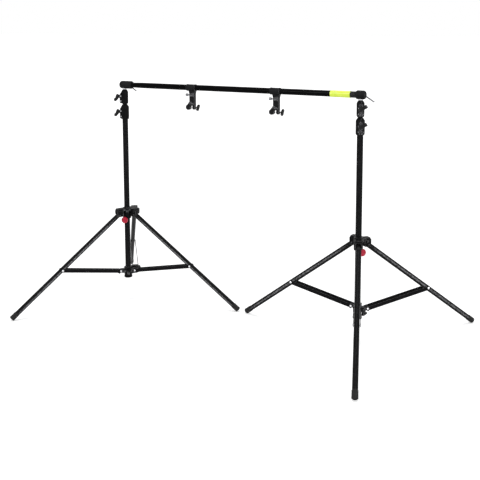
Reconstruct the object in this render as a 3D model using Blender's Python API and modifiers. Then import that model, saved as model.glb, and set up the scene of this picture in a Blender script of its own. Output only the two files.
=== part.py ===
"""Backdrop stand: two folding three-leg stands carrying a telescopic crossbar with two hanging clamps.

Units are metres, +Z is up and the crossbar lies along X. Each stand is modelled round its own
column axis with leg A along local +X, and is then set at its end of the crossbar and turned.
"""
import math

import bmesh
import bpy
from mathutils import Matrix, Vector

for old in list(bpy.data.objects):
    bpy.data.objects.remove(old, do_unlink=True)

# Clearances
GAP = 0.0003
PIVOT_GAP = 0.0004
ROUND = 16
HOLE_SIDES = 10

# Overall layout
BAR_HEIGHT = 1.020
SPIGOT_SPACING = 1.186
LEFT_TURN = math.radians(130.6)
RIGHT_TURN = math.radians(176.4)

# Column and risers
COLUMN_RADIUS = 0.0130
COLUMN_WALL = 0.0014
RISER_LOWER_RADIUS = 0.0105
RISER_LOWER_WALL = 0.0013
RISER_LOWER_BOTTOM = 0.1500
RISER_UPPER_RADIUS = 0.0082
RISER_UPPER_WALL = 0.0012
RISER_UPPER_BOTTOM = 0.1700
BUSH_LENGTH = 0.030

# Legs, braces and their pivots
LEG_RADIUS = 0.0110
LEG_WALL = 0.0014
LEG_PIVOT_HEIGHT = 0.4090
LEG_REACH = 0.5345
LEG_END_HEIGHT = 0.0125
BRACE_PIVOT_HEIGHT = 0.1395
JOINT_SHARE = 0.548
LEG_A = (math.radians(0.0), 0.0420, -0.0360)
LEG_B = (math.radians(116.2), 0.0460, 0.0020)
LEG_C = (math.radians(236.2), 0.0425, 0.0020)
STRAP_HEIGHT = 0.0160
STRAP_THICKNESS = 0.0022
STRAP_OFFSET = 0.0123
PIN_RADIUS = 0.0030
RIVET_HEAD_RADIUS = 0.0052
RIVET_HEAD = 0.0016
FOOT_WALL = 0.0010
FOOT_LENGTH = 0.0320
FOOT_BASE = 0.0060

# Castings
SLEEVE_WALL = 0.0058
SLEEVE_BELOW_PIVOT = 0.0200
SLEEVE_ABOVE_ROOF = 0.0020
ROOF_THICKNESS = 0.0110
ROOF_CLEARANCE = 0.0080
CHEEK_THICKNESS = 0.0042
CHEEK_REACH = 0.0145
CHEEK_DROP = 0.0080
CHEEK_SLOPE_START = 0.0035
CHEEK_SLOPE_RISE = 0.0190
SKIN = 0.0007
LOWER_SLEEVE_RISE = 0.0130
COLUMN_DROP = 0.0340
TONGUE_DROP = 0.0120
TONGUE_RISE = 0.0075
TONGUE_REACH = 0.0080
CAP_THICKNESS = 0.0045
CLAW_REACH = 0.0600
CLAW_SHORT_REACH = 0.0430
CLAW_ANGLE = math.radians(-75.0)
CLAW_SHORT_ANGLE = math.radians(180.0)
CLAW_WIDTH = 0.0130
CLAW_MOUTH = 0.0065
CLAW_HEIGHT = 0.0390
CLAW_SHORT_HEIGHT = 0.0210
CLAW_BELOW_ROOF = 0.0020
LOWER_CLAW_BELOW_PIN = 0.0235
MOUTH_LEAN = 0.0125

# Release knob on the upper casting
RELEASE_ANGLE = math.radians(154.0)
RELEASE_DROP = 0.0247
RELEASE_RADIUS = 0.0155
RELEASE_THICKNESS = 0.0095
RELEASE_BOSS_HALF = 0.0085
RELEASE_BOSS_REACH = 0.0245
SCREW_RADIUS = 0.0032

# Lock collars
LEFT_LOCK_ANGLE = math.radians(80.3)
RIGHT_LOCK_ANGLE = math.radians(124.3)
LOCK_LOWER_HEIGHT = 0.0680
LOCK_UPPER_HEIGHT = 0.0660
LOCK_REVEAL = 0.0015
LOCK_SPACING = 0.0040
LOCK_GRIP = 0.0240
LOCK_WALL = 0.0055
LOCK_LIP = 0.0018
LOCK_SHOULDER = 0.0095
LOCK_CHAMFER = 0.0050
LOCK_BOSS_REACH = 0.0232
LOCK_BOSS_WIDTH = 0.0200
LOCK_BOSS_TOP = 0.0150
LOCK_BOSS_FACE = 0.0240
LOCK_KNOB_SHARE = 0.52
SLIT_HALF = 0.0008

# Wing knobs of the locks: a short heel on one side of the screw and a long tip on the other
KNOB_STEM_LENGTH = 0.0070
WING_HEEL = 0.0100
WING_TIP = 0.0280
WING_THICKNESS = 0.0085
WING_HUB_DEPTH = 0.0090
WING_TIP_DEPTH = 0.0055
WING_SWEEP = 0.0125
LEFT_WING_TILT = math.radians(-33.0)
RIGHT_WING_TILT = math.radians(125.0)

# Crossbar
BAR_RADIUS = 0.0127
BAR_WALL = 0.0014
NECK_RADIUS = 0.0116
BAR_OUTER_START = 0.0465
NECK_END = 0.1050
NECK_TAPER = 0.0450
MIDDLE_WALL = 0.0013
INNER_WALL = 0.0013
TUBE_CLEARANCE = 0.0003
RING_RADIUS = 0.0130
RING_WIDTH = 0.0110
RING_START = 0.5505
MIDDLE_INSET = 0.0600
INNER_INSET = 0.0950
LABEL_LENGTH = 0.0870
LABEL_WALL = 0.0008

# Heads
HEAD_RADIUS = 0.0180
HEAD_OUTER_REACH = 0.0228
HEAD_FLANGE_RADIUS = 0.0160
HEAD_RECESS_RADIUS = 0.0110
HEAD_RECESS = 0.0020
PLUG_LENGTH = 0.0300
SPIGOT_RADIUS = 0.0080
SPIGOT_TOP = 0.0090
SPIGOT_GROOVE = 0.0012
SPIGOT_COLLAR = 0.0030
LEVER_BOSS_RADIUS = 0.0075
LEVER_BOSS_REACH = 0.0215
LEVER_HUB_RADIUS = 0.0065
LEVER_HUB_LENGTH = 0.0080
LEVER_LENGTH = 0.0640
LEVER_ROD_RADIUS = 0.0022
LEVER_DROP = math.radians(31.0)

# Hanging clamps
CLAMP_OFFSET = 0.2120
SADDLE_WALL = 0.0022
SADDLE_LENGTH = 0.0460
SADDLE_SHIFT = -0.0050
HANGER_WIDTH = 0.0280
HANGER_DEPTH = 0.0130
HANGER_BOTTOM = 0.0760
JAW_HEIGHT = 0.0880
JAW_RADIUS = 0.0120
JAW_CENTRE = 0.0215
JAW_FACE = 0.0095
JAW_BOSS_START = 0.0030
JAW_BOSS_WIDTH = 0.0110
JAW_BOSS_RADIUS = 0.0090
JAW_SCREW_RADIUS = 0.0027
PAD_RADIUS = 0.0055
PAD_THICKNESS = 0.0030
CLAMP_WING_START = 0.0275
CLAMP_WING_SPAN = 0.0300
CLAMP_WING_THICKNESS = 0.0060
CLAMP_WING_END = 0.0060
CLAMP_WING_TURN = math.radians(62.0)
CLAMP_HUB_RADIUS = 0.0055
CLAMP_HUB_LENGTH = 0.0050
THUMB_HEIGHT = 0.0330
THUMB_RADIUS = 0.0055
THUMB_REACH = 0.0200
THUMB_HEAD = 0.0060
THUMB_TIP = 0.0017

# Values that follow from the sizes above
RISER_UPPER_TOP = BAR_HEIGHT - HEAD_RADIUS - SPIGOT_COLLAR
LOCK_UPPER_TOP = RISER_UPPER_TOP - LOCK_REVEAL
LOCK_UPPER_BOTTOM = LOCK_UPPER_TOP - LOCK_UPPER_HEIGHT
LOCK_LOWER_TOP = LOCK_UPPER_BOTTOM - LOCK_SPACING
LOCK_LOWER_BOTTOM = LOCK_LOWER_TOP - LOCK_LOWER_HEIGHT
RISER_LOWER_TOP = LOCK_UPPER_TOP - LOCK_GRIP
COLUMN_TOP = LOCK_LOWER_TOP - LOCK_GRIP
COLUMN_BOTTOM = BRACE_PIVOT_HEIGHT - COLUMN_DROP
LOWER_CASTING_TOP = BRACE_PIVOT_HEIGHT + LOWER_SLEEVE_RISE
ROOF_BOTTOM = LEG_PIVOT_HEIGHT + LEG_RADIUS + ROOF_CLEARANCE
ROOF_TOP = ROOF_BOTTOM + ROOF_THICKNESS
UPPER_CASTING_BOTTOM = LEG_PIVOT_HEIGHT - SLEEVE_BELOW_PIVOT
UPPER_CASTING_TOP = ROOF_TOP + SLEEVE_ABOVE_ROOF
RELEASE_HEIGHT = LEG_PIVOT_HEIGHT - RELEASE_DROP
LEG_DROP = LEG_PIVOT_HEIGHT - LEG_END_HEIGHT
LEG_LENGTH = math.hypot(LEG_REACH, LEG_DROP)
LEG_ANGLE = math.atan2(LEG_REACH, LEG_DROP)
JOINT_DISTANCE = LEG_LENGTH * JOINT_SHARE
JOINT_OUT = LEG_REACH * JOINT_SHARE
JOINT_HEIGHT = LEG_PIVOT_HEIGHT - LEG_DROP * JOINT_SHARE
BRACE_LENGTH = math.hypot(JOINT_OUT, JOINT_HEIGHT - BRACE_PIVOT_HEIGHT)
BRACE_ANGLE = math.atan2(JOINT_OUT, JOINT_HEIGHT - BRACE_PIVOT_HEIGHT)
CHEEK_INNER = LEG_RADIUS + PIVOT_GAP
MIDDLE_RADIUS = BAR_RADIUS - BAR_WALL - TUBE_CLEARANCE
INNER_RADIUS = MIDDLE_RADIUS - MIDDLE_WALL - TUBE_CLEARANCE
HALF_BAR = SPIGOT_SPACING / 2.0

parts = bpy.data.collections.new("backdrop_stand")
cutters = bpy.data.collections.new("cutters")
for group in (parts, cutters):
    bpy.context.scene.collection.children.link(group)


def make_material(name, colour, roughness, metallic):
    """A Principled material with the colour, roughness and metallic value of one surface."""
    material = bpy.data.materials.new(name)
    material.use_nodes = True
    shader = material.node_tree.nodes["Principled BSDF"]
    shader.inputs["Base Color"].default_value = (*colour, 1.0)
    shader.inputs["Roughness"].default_value = roughness
    shader.inputs["Metallic"].default_value = metallic
    material.diffuse_color = (*colour, 1.0)
    return material


black_tube = make_material("black_anodised_tube", (0.022, 0.022, 0.024), 0.38, 0.6)
black_casting = make_material("black_casting", (0.030, 0.030, 0.032), 0.55, 0.0)
black_plastic = make_material("black_plastic", (0.020, 0.020, 0.021), 0.50, 0.0)
black_rubber = make_material("black_rubber", (0.012, 0.012, 0.012), 0.85, 0.0)
steel = make_material("zinc_steel", (0.55, 0.55, 0.56), 0.35, 1.0)
crimson = make_material("crimson_plastic", (0.52, 0.02, 0.06), 0.35, 0.0)
lime = make_material("lime_sleeve", (0.70, 0.86, 0.05), 0.50, 0.0)


def store(mesh, name):
    """An object for a finished mesh, kept with the cutters until it is used."""
    obj = bpy.data.objects.new(name, mesh)
    cutters.objects.link(obj)
    obj.hide_render = True
    obj.display_type = "WIRE"
    return obj


def evaluated_mesh(obj):
    """The object's mesh with its modifiers and its own matrix applied, welded."""
    graph = bpy.context.evaluated_depsgraph_get()
    graph.update()
    mesh = bpy.data.meshes.new_from_object(obj.evaluated_get(graph), depsgraph=graph)
    mesh.transform(obj.matrix_world)
    data = bmesh.new()
    data.from_mesh(mesh)
    bmesh.ops.remove_doubles(data, verts=data.verts, dist=0.000001)
    data.to_mesh(mesh)
    data.free()
    return mesh


def settle(obj, matrix=None):
    """Turn an object with modifiers into a plain mesh object, moved by the given matrix."""
    mesh = evaluated_mesh(obj)
    name = obj.name
    bpy.data.objects.remove(obj, do_unlink=True)
    if matrix is not None:
        mesh.transform(matrix)
    return store(mesh, name)


def box(name, low, high, bevel=0.0):
    """A box between two corners, with its edges rounded by a Bevel."""
    low = Vector(low)
    high = Vector(high)
    data = bmesh.new()
    bmesh.ops.create_cube(data, size=1.0)
    bmesh.ops.scale(data, vec=high - low, verts=data.verts)
    bmesh.ops.translate(data, vec=(low + high) / 2.0, verts=data.verts)
    mesh = bpy.data.meshes.new(name)
    data.to_mesh(mesh)
    data.free()
    obj = store(mesh, name)
    if bevel > 0.0:
        edge = obj.modifiers.new("Bevel", "BEVEL")
        edge.width = bevel
        edge.segments = 1
        edge.limit_method = "ANGLE"
    return settle(obj)


def rod(name, radius, start, end, sides=ROUND, end_radius=None):
    """A cylinder, or a cone, between two points."""
    start = Vector(start)
    end = Vector(end)
    axis = end - start
    data = bmesh.new()
    bmesh.ops.create_cone(
        data,
        cap_ends=True,
        segments=sides,
        radius1=radius,
        radius2=radius if end_radius is None else end_radius,
        depth=axis.length,
    )
    turn = Vector((0.0, 0.0, 1.0)).rotation_difference(axis).to_matrix().to_4x4()
    bmesh.ops.transform(data, matrix=Matrix.Translation((start + end) / 2.0) @ turn, verts=data.verts)
    mesh = bpy.data.meshes.new(name)
    data.to_mesh(mesh)
    data.free()
    return store(mesh, name)


def turned(name, profile, steps=ROUND, closed=False, matrix=None):
    """A lathe shape: a profile of (radius, height) points from the top, down the outer side."""
    mesh = bpy.data.meshes.new(name)
    edges = [(i, i + 1) for i in range(len(profile) - 1)]
    if closed:
        edges.append((len(profile) - 1, 0))
    mesh.from_pydata([(radius, 0.0, height) for radius, height in profile], edges, [])
    obj = store(mesh, name)
    lathe = obj.modifiers.new("Screw", "SCREW")
    lathe.steps = steps
    lathe.render_steps = steps
    lathe.use_merge_vertices = True
    lathe.merge_threshold = 0.00001
    return settle(obj, matrix)


def pipe(name, outer, inner, bottom, top, steps=ROUND, matrix=None):
    """A plain tube, open at both ends."""
    profile = [(inner, top), (outer, top), (outer, bottom), (inner, bottom)]
    return turned(name, profile, steps, closed=True, matrix=matrix)


def outline(name, points, thickness, matrix=None, bevel=0.0):
    """A flat shape cut from a plate: its outline lies in local XY, centred on Z = 0."""
    curve = bpy.data.curves.new(name, "CURVE")
    curve.dimensions = "2D"
    curve.fill_mode = "BOTH"
    curve.extrude = thickness / 2.0
    line = curve.splines.new("POLY")
    line.points.add(len(points) - 1)
    for point, place in zip(line.points, points):
        point.co = (place[0], place[1], 0.0, 1.0)
    line.use_cyclic_u = True
    obj = bpy.data.objects.new(name, curve)
    cutters.objects.link(obj)
    solid = settle(obj)
    if bevel > 0.0:
        edge = solid.modifiers.new("Bevel", "BEVEL")
        edge.width = bevel
        edge.segments = 1
        edge.limit_method = "ANGLE"
        edge.angle_limit = math.radians(40.0)
    return settle(solid, matrix)


def arc(centre, radius, start, end, count):
    """Points along an arc in a plane, ends included; angles in degrees."""
    points = []
    for i in range(count + 1):
        angle = math.radians(start + (end - start) * i / count)
        points.append((centre[0] + radius * math.cos(angle), centre[1] + radius * math.sin(angle)))
    return points


def boolean(body, tools, operation):
    """Join tools to a body, or cut them out of it, one after another."""
    for tool in tools:
        step = body.modifiers.new(operation.title(), "BOOLEAN")
        step.operation = operation
        step.solver = "EXACT"
        step.object = tool
    result = settle(body)
    for tool in tools:
        bpy.data.objects.remove(tool, do_unlink=True)
    return result


def join(body, *tools):
    return boolean(body, tools, "UNION")


def cut(body, *tools):
    return boolean(body, tools, "DIFFERENCE")


def take(obj):
    """The mesh of a finished tool, smooth-shaded, with the tool itself removed."""
    mesh = obj.data
    mesh.shade_smooth()
    mesh.set_sharp_from_angle(angle=math.radians(35.0))
    bpy.data.objects.remove(obj, do_unlink=True)
    return mesh


def empty(name, parent=None, location=(0.0, 0.0, 0.0), turn=0.0):
    obj = bpy.data.objects.new(name, None)
    obj.empty_display_size = 0.05
    parts.objects.link(obj)
    obj.parent = parent
    obj.location = location
    obj.rotation_euler = (0.0, 0.0, turn)
    return obj


def piece(name, mesh, material, parent, location=(0.0, 0.0, 0.0), rotation=None):
    """One named sub-part on its parent, at its own joint or seat."""
    mesh = mesh.copy()
    mesh.name = name
    mesh.materials.clear()
    mesh.materials.append(material)
    obj = bpy.data.objects.new(name, mesh)
    parts.objects.link(obj)
    obj.parent = parent
    matrix = Matrix.Translation(location)
    if rotation is not None:
        matrix = matrix @ rotation
    obj.matrix_local = matrix
    return obj


def about_z(angle):
    return Matrix.Rotation(angle, 4, "Z")


def about_y(angle):
    return Matrix.Rotation(angle, 4, "Y")


def about_x(angle):
    return Matrix.Rotation(angle, 4, "X")


ALONG_X = about_y(math.radians(90.0))


def leg_frame(leg):
    """The matrix of a leg's plane: X outwards, Y along its hinge, through the pivot's plan place."""
    angle, out, aside = leg
    return about_z(angle) @ Matrix.Translation((out, aside, 0.0))


# The column and its two risers.
column_mesh = take(
    pipe("column", COLUMN_RADIUS, COLUMN_RADIUS - COLUMN_WALL, COLUMN_BOTTOM, COLUMN_TOP)
)


def riser(name, radius, wall, bottom, top, bore):
    """A riser tube whose lower end swells into a guide bush that runs in the tube outside it."""
    profile = [
        (radius - wall, top),
        (radius, top),
        (radius, bottom + BUSH_LENGTH + 0.001),
        (bore - GAP, bottom + BUSH_LENGTH),
        (bore - GAP, bottom),
        (radius - wall, bottom),
    ]
    return take(turned(name, profile, closed=True))


riser_lower_mesh = riser(
    "riser_lower",
    RISER_LOWER_RADIUS,
    RISER_LOWER_WALL,
    RISER_LOWER_BOTTOM,
    RISER_LOWER_TOP,
    COLUMN_RADIUS - COLUMN_WALL,
)
riser_upper_mesh = riser(
    "riser_upper",
    RISER_UPPER_RADIUS,
    RISER_UPPER_WALL,
    RISER_UPPER_BOTTOM,
    RISER_UPPER_TOP,
    RISER_LOWER_RADIUS - RISER_LOWER_WALL,
)

# The spigot plugs into the upper riser. Its stud stands in the head's socket.
PLUG_RADIUS = RISER_UPPER_RADIUS - RISER_UPPER_WALL - GAP
STUD_BASE = RISER_UPPER_TOP + GAP
STUD_TOP = BAR_HEIGHT + SPIGOT_TOP
HEAD_BOTTOM = BAR_HEIGHT - HEAD_RADIUS
FLANGE_TOP = HEAD_BOTTOM - GAP
spigot_mesh = take(
    turned(
        "spigot",
        [
            (0.0, STUD_TOP),
            (SPIGOT_RADIUS - 0.001, STUD_TOP),
            (SPIGOT_RADIUS, STUD_TOP - 0.001),
            (SPIGOT_RADIUS, BAR_HEIGHT + 0.003),
            (SPIGOT_RADIUS - SPIGOT_GROOVE, BAR_HEIGHT + 0.0015),
            (SPIGOT_RADIUS - SPIGOT_GROOVE, BAR_HEIGHT - 0.0035),
            (SPIGOT_RADIUS, BAR_HEIGHT - 0.005),
            (SPIGOT_RADIUS, FLANGE_TOP),
            (SPIGOT_RADIUS + 0.0012, FLANGE_TOP),
            (SPIGOT_RADIUS + 0.0012, STUD_BASE),
            (PLUG_RADIUS, STUD_BASE),
            (PLUG_RADIUS, STUD_BASE - PLUG_LENGTH),
            (0.0, STUD_BASE - PLUG_LENGTH),
        ],
    )
)

# A leg hangs along local -Z from its hinge at the origin, closed and rounded at the top.
LEG_TUBE_END = LEG_LENGTH - FOOT_BASE
leg_profile = [(0.0, LEG_RADIUS)]
for step in range(1, 5):
    bend = math.radians(90.0 * step / 4)
    leg_profile.append((LEG_RADIUS * math.sin(bend), LEG_RADIUS * math.cos(bend)))
leg_profile += [
    (LEG_RADIUS, -LEG_TUBE_END),
    (LEG_RADIUS - LEG_WALL, -LEG_TUBE_END),
    (LEG_RADIUS - LEG_WALL, -0.020),
    (0.0, -0.020),
]
leg = turned("leg", leg_profile)
leg_mesh = take(
    cut(
        leg,
        rod("leg_pivot_hole", PIN_RADIUS + PIVOT_GAP, (0, -0.02, 0), (0, 0.02, 0), HOLE_SIDES),
        rod(
            "leg_rivet_hole",
            PIN_RADIUS + PIVOT_GAP,
            (0, -0.02, -JOINT_DISTANCE),
            (0, 0.02, -JOINT_DISTANCE),
            HOLE_SIDES,
        ),
    )
)

FOOT_RADIUS = LEG_RADIUS + GAP + FOOT_WALL
foot_mesh = take(
    turned(
        "foot",
        [
            (0.0, -LEG_TUBE_END - GAP),
            (LEG_RADIUS + GAP, -LEG_TUBE_END - GAP),
            (LEG_RADIUS + GAP, -LEG_LENGTH + FOOT_LENGTH),
            (FOOT_RADIUS, -LEG_LENGTH + FOOT_LENGTH),
            (FOOT_RADIUS, -LEG_LENGTH + 0.003),
            (FOOT_RADIUS - 0.003, -LEG_LENGTH),
            (0.0, -LEG_LENGTH),
        ],
    )
)


def strap(name, side):
    """One flat bar of a brace, along -Z from the leg joint."""
    half = STRAP_HEIGHT / 2.0
    points = arc((0.0, 0.0), half, 0, 180, 6) + arc((0.0, -BRACE_LENGTH), half, 180, 360, 6)
    centre = side * (STRAP_OFFSET + STRAP_THICKNESS / 2.0)
    plane = Matrix.Translation((0.0, centre, 0.0)) @ about_x(math.radians(90.0))
    return outline(name, points, STRAP_THICKNESS, plane)


def rivet(name, height, face):
    """A riveted pin along Y at the given height, headed on both outer faces."""
    face = face - 0.0001
    profile = [
        (0.0, face + RIVET_HEAD),
        (RIVET_HEAD_RADIUS - 0.0008, face + RIVET_HEAD),
        (RIVET_HEAD_RADIUS, face + RIVET_HEAD - 0.0008),
        (RIVET_HEAD_RADIUS, face),
        (PIN_RADIUS, face),
        (PIN_RADIUS, -face),
        (RIVET_HEAD_RADIUS, -face),
        (RIVET_HEAD_RADIUS, -face - RIVET_HEAD + 0.0008),
        (RIVET_HEAD_RADIUS - 0.0008, -face - RIVET_HEAD),
        (0.0, -face - RIVET_HEAD),
    ]
    place = Matrix.Translation((0.0, 0.0, height)) @ about_x(math.radians(90.0))
    return turned(name, profile, HOLE_SIDES, matrix=place)


STRAP_OUTSIDE = STRAP_OFFSET + STRAP_THICKNESS
brace_mesh = take(
    join(
        strap("strap_near", -1),
        strap("strap_far", 1),
        rivet("rivet_top", 0.0, STRAP_OUTSIDE),
        rivet("rivet_end", -BRACE_LENGTH, STRAP_OUTSIDE),
    )
)

# The upper casting is a sliding sleeve with a roof plate and three forks for the legs.
SLEEVE_BORE = COLUMN_RADIUS + GAP
SLEEVE_RADIUS = SLEEVE_BORE + SLEEVE_WALL
CHEEK_OUTER = CHEEK_INNER + CHEEK_THICKNESS
CHEEK_BOTTOM = LEG_PIVOT_HEIGHT - CHEEK_DROP


def corner(leg, out, aside):
    """The plan position of a point given in a leg's own plane."""
    place = leg_frame(leg) @ Vector((out, aside, 0.0))
    return (place.x, place.y)


roof_points = []
for each in (LEG_A, LEG_B, LEG_C):
    roof_points.append(corner(each, -0.012, -CHEEK_OUTER))
    roof_points.append(corner(each, CHEEK_REACH - 0.004, -CHEEK_OUTER))
    roof_points.append(corner(each, CHEEK_REACH, -CHEEK_OUTER + 0.004))
    roof_points.append(corner(each, CHEEK_REACH, CHEEK_OUTER - 0.004))
    roof_points.append(corner(each, CHEEK_REACH - 0.004, CHEEK_OUTER))
    roof_points.append(corner(each, -0.012, CHEEK_OUTER))


def claw(name, angle, reach, bottom, top):
    """A stacking claw: a fin with a round mouth that grips the next stand's column."""
    blade = box(
        name, (0.014, -CLAW_WIDTH / 2.0, bottom), (reach, CLAW_WIDTH / 2.0, top), bevel=0.0015
    )
    mouth = rod(
        "mouth",
        CLAW_MOUTH,
        (reach + 0.003, 0, bottom - 0.01),
        (reach + 0.003, 0, top + 0.01),
        16,
    )
    blade = cut(blade, mouth)
    blade.data.transform(about_z(angle))
    return blade


roof = outline(
    "roof",
    roof_points,
    ROOF_THICKNESS,
    Matrix.Translation((0.0, 0.0, (ROOF_BOTTOM + ROOF_TOP) / 2.0)),
)
casting = rod("sleeve", SLEEVE_RADIUS, (0, 0, UPPER_CASTING_BOTTOM), (0, 0, UPPER_CASTING_TOP))
casting = join(casting, roof)
fork_cuts = []
for each in (LEG_A, LEG_B, LEG_C):
    frame = leg_frame(each)
    root = max(0.016, each[1] - 0.012)
    fork_root = root - each[1] - 0.004
    fork_end = CHEEK_REACH - SKIN
    fork = outline(
        "fork",
        [
            (fork_root, CHEEK_BOTTOM),
            (CHEEK_SLOPE_START, CHEEK_BOTTOM),
            (fork_end, CHEEK_BOTTOM + CHEEK_SLOPE_RISE),
            (fork_end, ROOF_TOP - 0.003),
            (fork_root, ROOF_TOP - 0.003),
        ],
        2.0 * (CHEEK_OUTER - SKIN),
        about_x(math.radians(90.0)),
    )
    fork.data.transform(frame)
    casting = join(casting, fork)
    slot = box(
        "slot",
        (-LEG_RADIUS - 0.0018, -CHEEK_INNER, CHEEK_BOTTOM - 0.02),
        (CHEEK_REACH + 0.05, CHEEK_INNER, ROOF_BOTTOM + SKIN),
    )
    slot.data.transform(frame)
    fork_cuts.append(slot)

# The knob's boss hangs from the sleeve on its free side, with the screw's hole to the column.
boss = box(
    "boss",
    (0.0110, -RELEASE_BOSS_HALF, RELEASE_HEIGHT - RELEASE_BOSS_HALF),
    (RELEASE_BOSS_REACH, RELEASE_BOSS_HALF, UPPER_CASTING_BOTTOM + 0.0060),
    bevel=0.0012,
)
boss.data.transform(about_z(RELEASE_ANGLE))
upper_claw_top = ROOF_TOP - CLAW_BELOW_ROOF
casting = join(
    casting,
    boss,
    claw("claw", CLAW_ANGLE, CLAW_REACH, upper_claw_top - CLAW_HEIGHT, upper_claw_top),
    claw(
        "claw_short",
        CLAW_SHORT_ANGLE,
        CLAW_SHORT_REACH,
        upper_claw_top - CLAW_SHORT_HEIGHT,
        upper_claw_top,
    ),
)
screw_hole = rod("screw_hole", SCREW_RADIUS + GAP, (0.005, 0, 0), (0.040, 0, 0), HOLE_SIDES)
screw_hole.data.transform(about_z(RELEASE_ANGLE))
screw_hole.data.transform(Matrix.Translation((0.0, 0.0, RELEASE_HEIGHT)))
column_bore = rod(
    "bore", SLEEVE_BORE, (0, 0, RELEASE_HEIGHT - 0.02), (0, 0, UPPER_CASTING_TOP + 0.01)
)
casting = cut(casting, column_bore, screw_hole, *fork_cuts)
pins = []
for each in (LEG_A, LEG_B, LEG_C):
    pin = rivet("pivot_pin", LEG_PIVOT_HEIGHT, CHEEK_OUTER - SKIN)
    pin.data.transform(leg_frame(each))
    pins.append(pin)
upper_casting_mesh = take(join(casting, *pins))

# The release knob: a round crimson head on a screw. Its local +X is the screw's axis.
KNOB_FACE = RELEASE_BOSS_REACH + GAP
release_profile = [
    (0.0, KNOB_FACE + RELEASE_THICKNESS),
    (RELEASE_RADIUS - 0.003, KNOB_FACE + RELEASE_THICKNESS),
    (RELEASE_RADIUS, KNOB_FACE + RELEASE_THICKNESS - 0.003),
    (RELEASE_RADIUS, KNOB_FACE + 0.002),
    (RELEASE_RADIUS - 0.002, KNOB_FACE),
    (SCREW_RADIUS, KNOB_FACE),
    (SCREW_RADIUS, COLUMN_RADIUS + GAP),
    (0.0, COLUMN_RADIUS + GAP),
]
release_knob_mesh = take(
    turned("release_knob", release_profile, matrix=ALONG_X)
)

# The lower casting is a fixed sleeve with a closed end and three open claws for the brace pins.
lower = rod("sleeve", SLEEVE_RADIUS, (0, 0, COLUMN_BOTTOM - CAP_THICKNESS), (0, 0, LOWER_CASTING_TOP))
lower_cuts = []
TONGUE_HALF = STRAP_OFFSET - 0.0008
for each in (LEG_A, LEG_B, LEG_C):
    frame = leg_frame(each)
    low = BRACE_PIVOT_HEIGHT - TONGUE_DROP
    high = BRACE_PIVOT_HEIGHT + TONGUE_RISE
    side = TONGUE_HALF
    tongue = box(
        "tongue", (-each[1] + 0.006, -side, low), (TONGUE_REACH, side, high), bevel=0.001
    )
    tongue.data.transform(frame)
    lower = join(lower, tongue)
    # The brace pin leaves downwards and a little inwards as the stand folds.
    reach = PIN_RADIUS + PIVOT_GAP
    mouth = outline(
        "mouth",
        arc((0.0, BRACE_PIVOT_HEIGHT), reach, 0, 180, 6)
        + [(-MOUTH_LEAN, low - 0.004), (reach - 0.0005, low - 0.004)],
        2 * TONGUE_HALF + 0.004,
        about_x(math.radians(90.0)),
    )
    mouth.data.transform(frame)
    lower_cuts.append(mouth)
lower_claw_bottom = BRACE_PIVOT_HEIGHT - LOWER_CLAW_BELOW_PIN
lower = join(
    lower,
    claw("claw", CLAW_ANGLE, CLAW_REACH, lower_claw_bottom, lower_claw_bottom + CLAW_HEIGHT),
    claw(
        "claw_short",
        CLAW_SHORT_ANGLE,
        CLAW_SHORT_REACH,
        lower_claw_bottom,
        lower_claw_bottom + CLAW_SHORT_HEIGHT,
    ),
)
column_seat = rod(
    "seat", SLEEVE_BORE, (0, 0, COLUMN_BOTTOM - GAP), (0, 0, LOWER_CASTING_TOP + 0.01)
)
lower_casting_mesh = take(cut(lower, column_seat, *lower_cuts))


def lock_collar(name, bottom, top, tube_radius, tube_top, riser_radius):
    """A split collar: it sits on the end of one tube and clamps the next, with a boss to one side."""
    outer = tube_radius + LOCK_WALL
    lip = riser_radius + LOCK_LIP
    body = turned(
        "body",
        [
            (0.0, top),
            (lip, top),
            (outer, top - LOCK_SHOULDER),
            (outer, bottom + LOCK_CHAMFER),
            (outer - LOCK_CHAMFER / 2.0, bottom),
            (0.0, bottom),
        ],
    )
    profile = [
        (0.0, bottom + LOCK_CHAMFER / 2.0),
        (outer, bottom + LOCK_CHAMFER / 2.0),
        (LOCK_BOSS_REACH, bottom + LOCK_CHAMFER),
        (LOCK_BOSS_REACH, top - LOCK_BOSS_FACE),
        (outer + LOCK_CHAMFER / 2.0, top - LOCK_BOSS_TOP),
        (lip, top - LOCK_SHOULDER / 2.0),
        (0.0, top - LOCK_SHOULDER / 2.0),
    ]
    ear = outline(name, profile, LOCK_BOSS_WIDTH, about_x(math.radians(90.0)), bevel=0.001)
    knob_height = bottom + LOCK_KNOB_SHARE * (top - bottom)
    return cut(
        join(body, ear),
        rod("tube_bore", tube_radius + GAP, (0, 0, bottom - 0.01), (0, 0, tube_top + GAP)),
        rod("riser_bore", riser_radius + GAP, (0, 0, bottom - 0.01), (0, 0, top + 0.01)),
        rod(
            "screw_bore",
            SCREW_RADIUS + GAP,
            (0.006, 0, knob_height),
            (0.05, 0, knob_height),
            HOLE_SIDES,
        ),
        box("slit", (0.004, -SLIT_HALF, bottom - 0.01), (0.05, SLIT_HALF, top + 0.01)),
    )


lock_lower_mesh = take(
    lock_collar(
        "lock_collar_lower",
        LOCK_LOWER_BOTTOM,
        LOCK_LOWER_TOP,
        COLUMN_RADIUS,
        COLUMN_TOP,
        RISER_LOWER_RADIUS,
    )
)
lock_upper_mesh = take(
    lock_collar(
        "lock_collar_upper",
        LOCK_UPPER_BOTTOM,
        LOCK_UPPER_TOP,
        RISER_LOWER_RADIUS,
        RISER_LOWER_TOP,
        RISER_UPPER_RADIUS,
    )
)


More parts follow.
